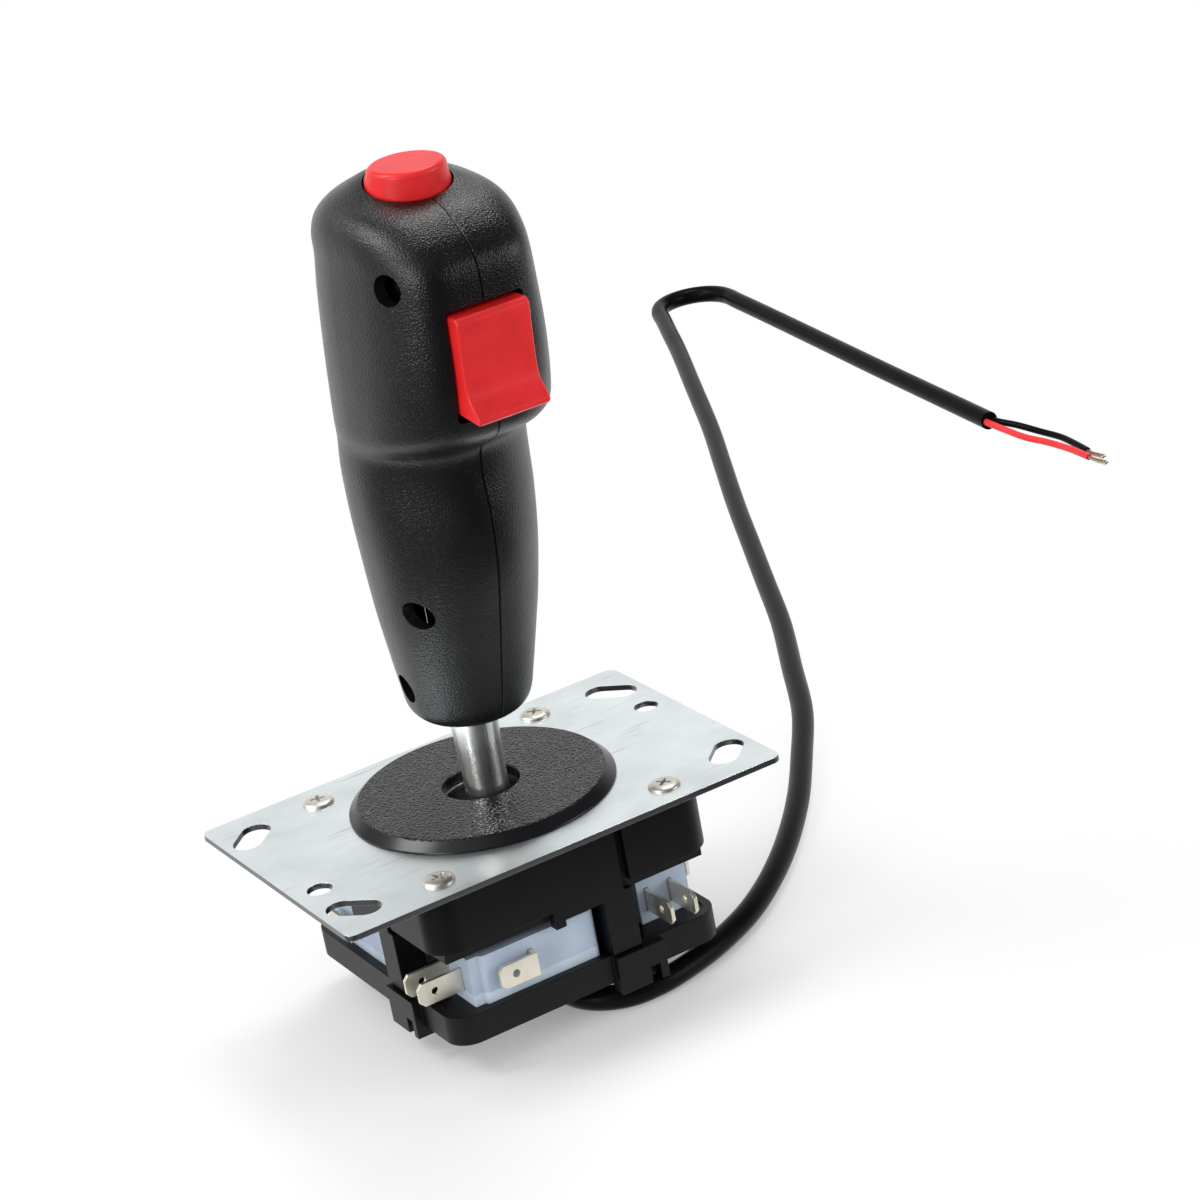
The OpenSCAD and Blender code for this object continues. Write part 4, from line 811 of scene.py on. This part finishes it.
class JOYSTICK_OT_grip(bpy.types.Operator):
    """Models the two grip shells with their seam, openings and screw bosses"""

    bl_idname = "joystick.grip"
    bl_label = "Grip shells"

    # Faces round a shell, steps between two stations, and finer ones to look up a width
    COLUMNS = 54
    STEPS = 5
    LOOK_STEPS = 12

    # Length of the cutter for the button's hole, and how far the others reach past the grip
    HOLE_CUTTER = 24
    PAST_FRONT = -80
    PAST_SIDE = 40

    def execute(self, context):
        sizes = context.scene.joystick_sizes
        seam = (sizes.seam_width / MM, sizes.seam_depth / MM)
        shells = (("shell_right", 1, "grip_shell_right"), ("shell_left", -1, "grip_shell_left"))
        for name, side, node in shells:
            mesh = cut(self.shell(side, seam), [("DIFFERENCE", self.button_hole())], tangled=True)
            mesh = cut(mesh, self.tools(side))
            add_solid(context, name, mesh, (node,), smooth=32)
        return {"FINISHED"}

    def button_hole(self):
        """Cutter for the thumb button's hole."""
        radius = BUTTON_D / 2 + BUTTON_GAP
        bm = bmesh.new()
        bmesh.ops.create_cone(
            bm, cap_ends=True, segments=96, radius1=radius, radius2=radius, depth=self.HOLE_CUTTER
        )
        in_button(bm)
        return to_mesh(bm, "hole")

    def tools(self, side):
        """Bosses to join to a shell, then the trigger's opening and the screw holes to cut."""
        made = []
        for y, h in (*SCREW_PLACES, SET_SCREW_PLACE):
            start = SET_SCREW_BOSS_START if (y, h) == SET_SCREW_PLACE else 0
            boss = rod(BOSS_R, side * start, side * self.boss_end(y, h), y, Z_GRIP + h)
            made.append(("UNION", boss))
        low = (-OPENING_HALF, self.PAST_FRONT, Z_GRIP + OPENING_LOW)
        high = (OPENING_HALF, OPENING_BACK, Z_GRIP + OPENING_HIGH)
        made.append(("DIFFERENCE", block(low, high, OPENING_ROUND)))
        # Grip screws go in from the left alone, set screws from both sides
        holes = [(SCREW_SEAT, *place) for place in SCREW_PLACES] if side < 0 else []
        holes.append((SET_SCREW_SEAT, *SET_SCREW_PLACE))
        for seat, y, h in holes:
            hole = rod(GRIP_HOLE_R, side * seat, side * self.PAST_SIDE, y, Z_GRIP + h)
            made.append(("DIFFERENCE", hole))
        return made

    def boss_end(self, y, h):
        """Where a boss ends in the wall: short of the outside all round its rim."""
        rim = [math.radians(turn) for turn in range(0, 360, 45)]
        halves = [self.half_at(y + BOSS_R * math.cos(a), h + BOSS_R * math.sin(a)) for a in rim]
        return min(halves) - GRIP_WALL / 2

    def half_at(self, y, h):
        """Half width of the grip's outside at a place along Y and a height."""
        station = min(smooth_points(GRIP_STATIONS[1:], self.LOOK_STEPS), key=lambda s: abs(s[0] - h))
        points = [grip_point(station, math.radians(turn)) for turn in range(181)]
        return min(points, key=lambda p: abs(p.y - y)).x

    def shell(self, side, seam):
        """One half of the grip as a wall of even thickness, with half of the seam's groove."""
        stations = smooth_points(GRIP_STATIONS, self.STEPS)
        rows = len(stations) - 1
        bm = bmesh.new()
        bmesh.ops.create_grid(bm, x_segments=self.COLUMNS, y_segments=rows, size=0.5)
        for v in bm.verts:
            row = round((v.co.y + 0.5) * rows)
            column = round((v.co.x + 0.5) * self.COLUMNS)
            v.co = self.skin_point(stations[row], column, seam)
        if side < 0:
            bmesh.ops.scale(bm, vec=(-1, 1, 1), verts=bm.verts)
        bmesh.ops.remove_doubles(bm, verts=bm.verts, dist=1e-4)
        bmesh.ops.recalc_face_normals(bm, faces=bm.faces)
        bm.normal_update()
        # An open shell may be recalculated inwards
        if sum(f.normal.x * f.calc_area() for f in bm.faces) * side < 0:
            bmesh.ops.reverse_faces(bm, faces=bm.faces)
        wall = bpy.data.objects.new("wall", to_mesh(bm, "shell"))
        bpy.context.scene.collection.objects.link(wall)
        thick = wall.modifiers.new("wall", "SOLIDIFY")
        thick.thickness = GRIP_WALL * MM
        thick.offset = -1
        made = modified(wall)
        for v in made.vertices:
            v.co.x = side * max(v.co.x * side, SPLIT_GAP * MM)
        return made

    def skin_point(self, station, column, seam):
        """Place on the outside; the first and last columns lie at the bottom of the seam's groove."""
        width, depth = seam
        if column in (0, self.COLUMNS):
            point = grip_point(station, math.pi if column else 0)
            point.x = SPLIT_GAP
            point.y += -depth if column else depth
            return point
        half, squareness = station[3:5]
        front = math.asin(min(1, (width / half) ** (squareness / 2)))
        back = math.asin(min(1, (width / half) ** (GRIP_BACK_SQUARENESS / 2)))
        share = (column - 1) / (self.COLUMNS - 2)
        return grip_point(station, front + (math.pi - back - front) * share)


class JOYSTICK_OT_button(bpy.types.Operator):
    """Turns the red thumb button, which narrows upwards, and cuts its top level with a round edge"""

    bl_idname = "joystick.button"
    bl_label = "Thumb button"

    # Levels from the grip's top: the stem and the flange that keeps the button in
    STEM_R = 3.2
    STEM_END = -10.4
    FLANGE_OUT = 1.2
    FLANGE_LOW = -5.8
    FLANGE_HIGH = -4.2

    # The narrowing starts here, and then goes by shares of the radius at two levels
    WALL_LOW = -0.2
    SHOULDER = (0.975, 0.25)
    UNCUT_TOP = (0.83, 6)

    def execute(self, context):
        r = BUTTON_D / 2
        flange = r + self.FLANGE_OUT
        wall = [(share * r, level) for share, level in (self.SHOULDER, self.UNCUT_TOP)]
        bm = turned([
            (0, self.STEM_END), (self.STEM_R, self.STEM_END), (self.STEM_R, self.FLANGE_LOW),
            (flange, self.FLANGE_LOW), (flange, self.FLANGE_HIGH), (r, self.FLANGE_HIGH),
            (r, self.WALL_LOW), *wall, (0, self.UNCUT_TOP[1]),
        ], steps=96)
        slope = math.radians(BUTTON_SLANT)
        level = Vector((0, math.sin(slope), math.cos(slope)))
        parts = bmesh.ops.bisect_plane(
            bm, geom=[*bm.verts, *bm.edges, *bm.faces], dist=1e-5, clear_outer=True,
            plane_co=(0, 0, BUTTON_H), plane_no=level,
        )
        rim = [e for e in parts["geom_cut"] if isinstance(e, bmesh.types.BMEdge)]
        top = bmesh.ops.contextual_create(bm, geom=rim)["faces"]
        bmesh.ops.recalc_face_normals(bm, faces=bm.faces)
        radius = context.scene.joystick_sizes.button_round / MM
        round_edges(bm, list(top[0].edges), radius, segments=5)
        in_button(bm)
        add_solid(context, "thumb_button", to_mesh(bm, "thumb_button"), ("top_button",), smooth=40)
        return {"FINISHED"}


class JOYSTICK_OT_trigger(bpy.types.Operator):
    """Models the red trigger blade: hollowed front, flared lip, rounded edges"""

    bl_idname = "joystick.trigger"
    bl_label = "Trigger"

    def execute(self, context):
        lip, heel, back = -TRIGGER_LIP, -TRIGGER_HEEL, -TRIGGER_BACK
        foot, top = Z_GRIP + TRIGGER_FOOT, Z_GRIP + TRIGGER_TOP
        front = smooth_points((
            (lip + 2.4, top), (lip + 1.5, top - 0.7), (lip + 1.4, top - 2), (lip + 2, top - 6),
            (lip + 2.5, top - 10.5), (lip + 2.7, top - 13.6), (lip + 2.4, top - 15.3),
            (lip + 1.5, top - 16.8), (lip + 0.3, foot + 1.7), (lip, foot + 1), (lip + 0.2, foot + 0.4),
            (lip + 0.8, foot),
        ), steps=3)
        rest = [
            (heel, foot + 0.6), (back - 1, foot + 1.6), (back, foot + 2.4),
            (back, top - 1), (back - 1, top),
        ]
        bm = bmesh.new()
        outline = bm.faces.new([bm.verts.new((-TRIGGER_W / 2, y, z)) for y, z in [*front, *rest]])
        grown = bmesh.ops.extrude_face_region(bm, geom=[outline])
        moved = [v for v in grown["geom"] if isinstance(v, bmesh.types.BMVert)]
        bmesh.ops.translate(bm, vec=(TRIGGER_W, 0, 0), verts=moved)
        bmesh.ops.recalc_face_normals(bm, faces=bm.faces)
        radius = context.scene.joystick_sizes.trigger_round / MM
        round_edges(bm, sharp_edges(bm, angle=50), radius, segments=3)
        add_solid(context, "trigger_blade", to_mesh(bm, "trigger_blade"), ("trigger",), smooth=35)
        return {"FINISHED"}


class JOYSTICK_OT_plate(bpy.types.Operator):
    """Rounds the edges of the pressed mounting plate"""

    bl_idname = "joystick.plate"
    bl_label = "Mounting plate"

    def execute(self, context):
        radius = context.scene.joystick_sizes.sheet_round / MM
        add_rounded(context, "plate_sheet", "mounting_plate", radius)
        return {"FINISHED"}


class JOYSTICK_OT_mouldings(bpy.types.Operator):
    """Rounds the edges of the black housing and tray"""

    bl_idname = "joystick.mouldings"
    bl_label = "Housing and tray"

    def execute(self, context):
        radius = context.scene.joystick_sizes.edge_round / MM
        add_rounded(context, "housing", "upper_housing", radius)
        add_rounded(context, "tray", "bottom_tray", radius)
        return {"FINISHED"}


class JOYSTICK_OT_switches(bpy.types.Operator):
    """Rounds the edges of the four snap switches: cases, covers and tabs"""

    bl_idname = "joystick.switches"
    bl_label = "Snap switches"

    # Radius of the edges, in millimetres
    ROUNDS = {"case": 0.25, "cover": 0.25, "tabs": 0.1}

    def execute(self, context):
        for side in SIDES:
            for piece, radius in self.ROUNDS.items():
                add_rounded(context, f"{side}_{piece}", f"switch_{side}_{piece}", radius)
        return {"FINISHED"}


class JOYSTICK_OT_shaft(bpy.types.Operator):
    """Turns the hollow shaft, which flares into the grip and has a groove for its clip"""

    bl_idname = "joystick.shaft"
    bl_label = "Shaft"

    # Radii below and above the flare and of the bore, in millimetres
    RADIUS = 4.35
    TOP_RADIUS = 4.9
    BORE = 2.8

    # The flare stands off the plate and the grip by this much, and has grown so far half way up
    FLARE_CLEAR = 2
    FLARE_HALF_WAY = 0.1

    GROOVE_DEPTH = 0.7
    GROOVE_PLAY = 0.1
    FOOT_CHAMFER = 0.3
    TOP_CHAMFER = 0.5

    def execute(self, context):
        r, top, bore = self.RADIUS, self.TOP_RADIUS, self.BORE
        groove, foot, lead_in = r - self.GROOVE_DEPTH, self.FOOT_CHAMFER, self.TOP_CHAMFER
        low, high = Z_CLIP - self.GROOVE_PLAY, Z_CLIP_TOP + self.GROOVE_PLAY
        flare = smooth_points((
            (r, Z_TOP + self.FLARE_CLEAR),
            (r + self.FLARE_HALF_WAY, (Z_TOP + Z_GRIP) / 2),
            (top, Z_GRIP - self.FLARE_CLEAR),
        ), steps=5)
        bm = turned([
            (bore, Z_SHAFT), (r - foot, Z_SHAFT), (r, Z_SHAFT + foot), (r, low), (groove, low),
            (groove, high), (r, high), *flare, (top, Z_SHAFT_TOP - lead_in), (top - lead_in, Z_SHAFT_TOP),
            (bore, Z_SHAFT_TOP), (bore, Z_SHAFT),
        ], steps=72)
        add_solid(context, "shaft_tube", to_mesh(bm, "shaft_tube"), ("shaft",), smooth=30)
        return {"FINISHED"}


class JOYSTICK_OT_washer(bpy.types.Operator):
    """Turns the dust washer with its bevelled rim and puts it off centre, as it lies"""

    bl_idname = "joystick.washer"
    bl_label = "Dust washer"

    # Radius of the hole and height of the rim below its bevel, in millimetres
    HOLE = 7.7
    RIM = 0.3

    def execute(self, context):
        low, high = (Vector(p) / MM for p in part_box("dust_washer"))
        r, t, hole, rim = (high.x - low.x) / 2, high.z - low.z, self.HOLE, self.RIM
        # The bevel is at 45 degrees, and the corners are eased
        crest = r - (t - rim)
        bm = turned([
            (hole, 0.15), (hole + 0.15, 0), (r - 0.1, 0), (r, 0.1), (r, rim), (r - 0.06, rim + 0.12),
            (crest + 0.16, t - 0.2), (crest - 0.06, t - 0.05), (crest - 0.3, t), (hole + 0.5, t),
            (hole + 0.15, t - 0.12), (hole, t - 0.45), (hole, 0.15),
        ], steps=128)
        bmesh.ops.translate(bm, vec=((low.x + high.x) / 2, (low.y + high.y) / 2, low.z), verts=bm.verts)
        add_solid(context, "washer_disc", to_mesh(bm, "washer_disc"), ("dust_washer",), smooth=28)
        return {"FINISHED"}


class JOYSTICK_OT_screws(bpy.types.Operator):
    """Turns the plate's four pan-head screws and cuts their cross recesses"""

    bl_idname = "joystick.screws"
    bl_label = "Plate screws"

    # Radii and the pitch of the square that the screws stand on, in millimetres
    HEAD_R = 3.2
    SHANK_R = 1.5
    PITCH = 50.8

    # Blades that cut the cross: length, width and height, taper downwards, their middle below the
    # head's top, their turns, and how much further each screw is turned than the last
    BLADE = (3.9, 0.75, 1.4)
    BLADE_TAPER = (0.45, 0.7, 1)
    BLADE_SUNK = 0.25
    BLADE_TURNS = (20, 110)
    TURN_ON = 17

    def execute(self, context):
        low, high = (Vector(p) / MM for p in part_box("plate_screws"))
        r, h, foot = self.HEAD_R, high.z - Z_TOP, low.z - Z_TOP
        head = ((r, 0), (r, 0.3 * h), (r - 0.35, 0.63 * h), (r - 1.2, 0.9 * h), (0, h))
        profile = [(0, foot), (self.SHANK_R, foot), (self.SHANK_R, 0), *smooth_points(head, steps=4)]
        out = self.PITCH / 2
        joined = bmesh.new()
        for k, (x, y) in enumerate(((-out, -out), (out, -out), (out, out), (-out, out))):
            blades = [self.blade(turn + self.TURN_ON * k, h) for turn in self.BLADE_TURNS]
            screw = to_mesh(turned(profile, steps=40), "screw")
            mesh = cut(screw, [("DIFFERENCE", blade) for blade in blades])
            mesh.transform(Matrix.Translation((x * MM, y * MM, Z_TOP * MM)))
            joined.from_mesh(mesh)
        mesh = bpy.data.meshes.new("pan_screws")
        joined.to_mesh(mesh)
        joined.free()
        add_solid(context, "pan_screws", mesh, ("plate_screws",), smooth=35)
        return {"FINISHED"}

    def blade(self, turn, height):
        """One blade of the cross's cutter, turned by so many degrees."""
        bm = bmesh.new()
        bmesh.ops.create_cube(bm, size=1)
        bmesh.ops.scale(bm, vec=self.BLADE, verts=bm.verts)
        bmesh.ops.scale(bm, vec=self.BLADE_TAPER, verts=[v for v in bm.verts if v.co.z < 0])
        bmesh.ops.translate(bm, vec=(0, 0, height - self.BLADE_SUNK), verts=bm.verts)
        about = Matrix.Rotation(math.radians(turn), 3, "Z")
        bmesh.ops.rotate(bm, cent=(0, 0, 0), matrix=about, verts=bm.verts)
        return to_mesh(bm, "cross")


class JOYSTICK_OT_inside(bpy.types.Operator):
    """Gives the pieces inside, which are shown as their solids, their finishes"""

    bl_idname = "joystick.inside"
    bl_label = "Inside pieces"

    def execute(self, context):
        made = finishes(context)
        for node, obj in FRAME["nodes"].items():
            if obj.hide_render:
                continue
            obj.data.materials.clear()
            obj.data.materials.append(made[SLOT_OF[node]])
        return {"FINISHED"}


OPERATORS = (
    JOYSTICK_OT_stage, JOYSTICK_OT_cable, JOYSTICK_OT_grip, JOYSTICK_OT_button, JOYSTICK_OT_trigger,
    JOYSTICK_OT_plate, JOYSTICK_OT_mouldings, JOYSTICK_OT_switches, JOYSTICK_OT_shaft,
    JOYSTICK_OT_washer, JOYSTICK_OT_screws, JOYSTICK_OT_inside,
)


class JOYSTICK_PT_panel(bpy.types.Panel):
    """Lists the joystick's sizes, colours and pieces"""

    bl_idname = "JOYSTICK_PT_panel"
    bl_label = "Joystick"
    bl_space_type = "VIEW_3D"
    bl_region_type = "UI"
    bl_category = "Joystick"

    def draw(self, context):
        for group in (context.scene.joystick_sizes, context.scene.joystick_colours):
            for key in group.__annotations__:
                self.layout.prop(group, key)
        for operator in OPERATORS:
            self.layout.operator(operator.bl_idname)


CLASSES = (JOYSTICK_PG_sizes, JOYSTICK_PG_colours, *OPERATORS, JOYSTICK_PT_panel)


def register():
    """Registers the classes and hangs the settings on the scene."""
    for kind in CLASSES:
        bpy.utils.register_class(kind)
    bpy.types.Scene.joystick_sizes = bpy.props.PointerProperty(type=JOYSTICK_PG_sizes)
    bpy.types.Scene.joystick_colours = bpy.props.PointerProperty(type=JOYSTICK_PG_colours)


def unregister():
    """Takes the settings off the scene and the classes out."""
    del bpy.types.Scene.joystick_colours
    del bpy.types.Scene.joystick_sizes
    for kind in reversed(CLASSES):
        bpy.utils.unregister_class(kind)


def main():
    """Builds the whole joystick."""
    register()
    bpy.ops.joystick.stage()
    bpy.ops.joystick.cable()
    bpy.ops.joystick.grip()
    bpy.ops.joystick.button()
    bpy.ops.joystick.trigger()
    bpy.ops.joystick.plate()
    bpy.ops.joystick.mouldings()
    bpy.ops.joystick.switches()
    bpy.ops.joystick.shaft()
    bpy.ops.joystick.washer()
    bpy.ops.joystick.screws()
    bpy.ops.joystick.inside()
    bpy.context.view_layer.update()


if __name__ == "__main__":
    main()
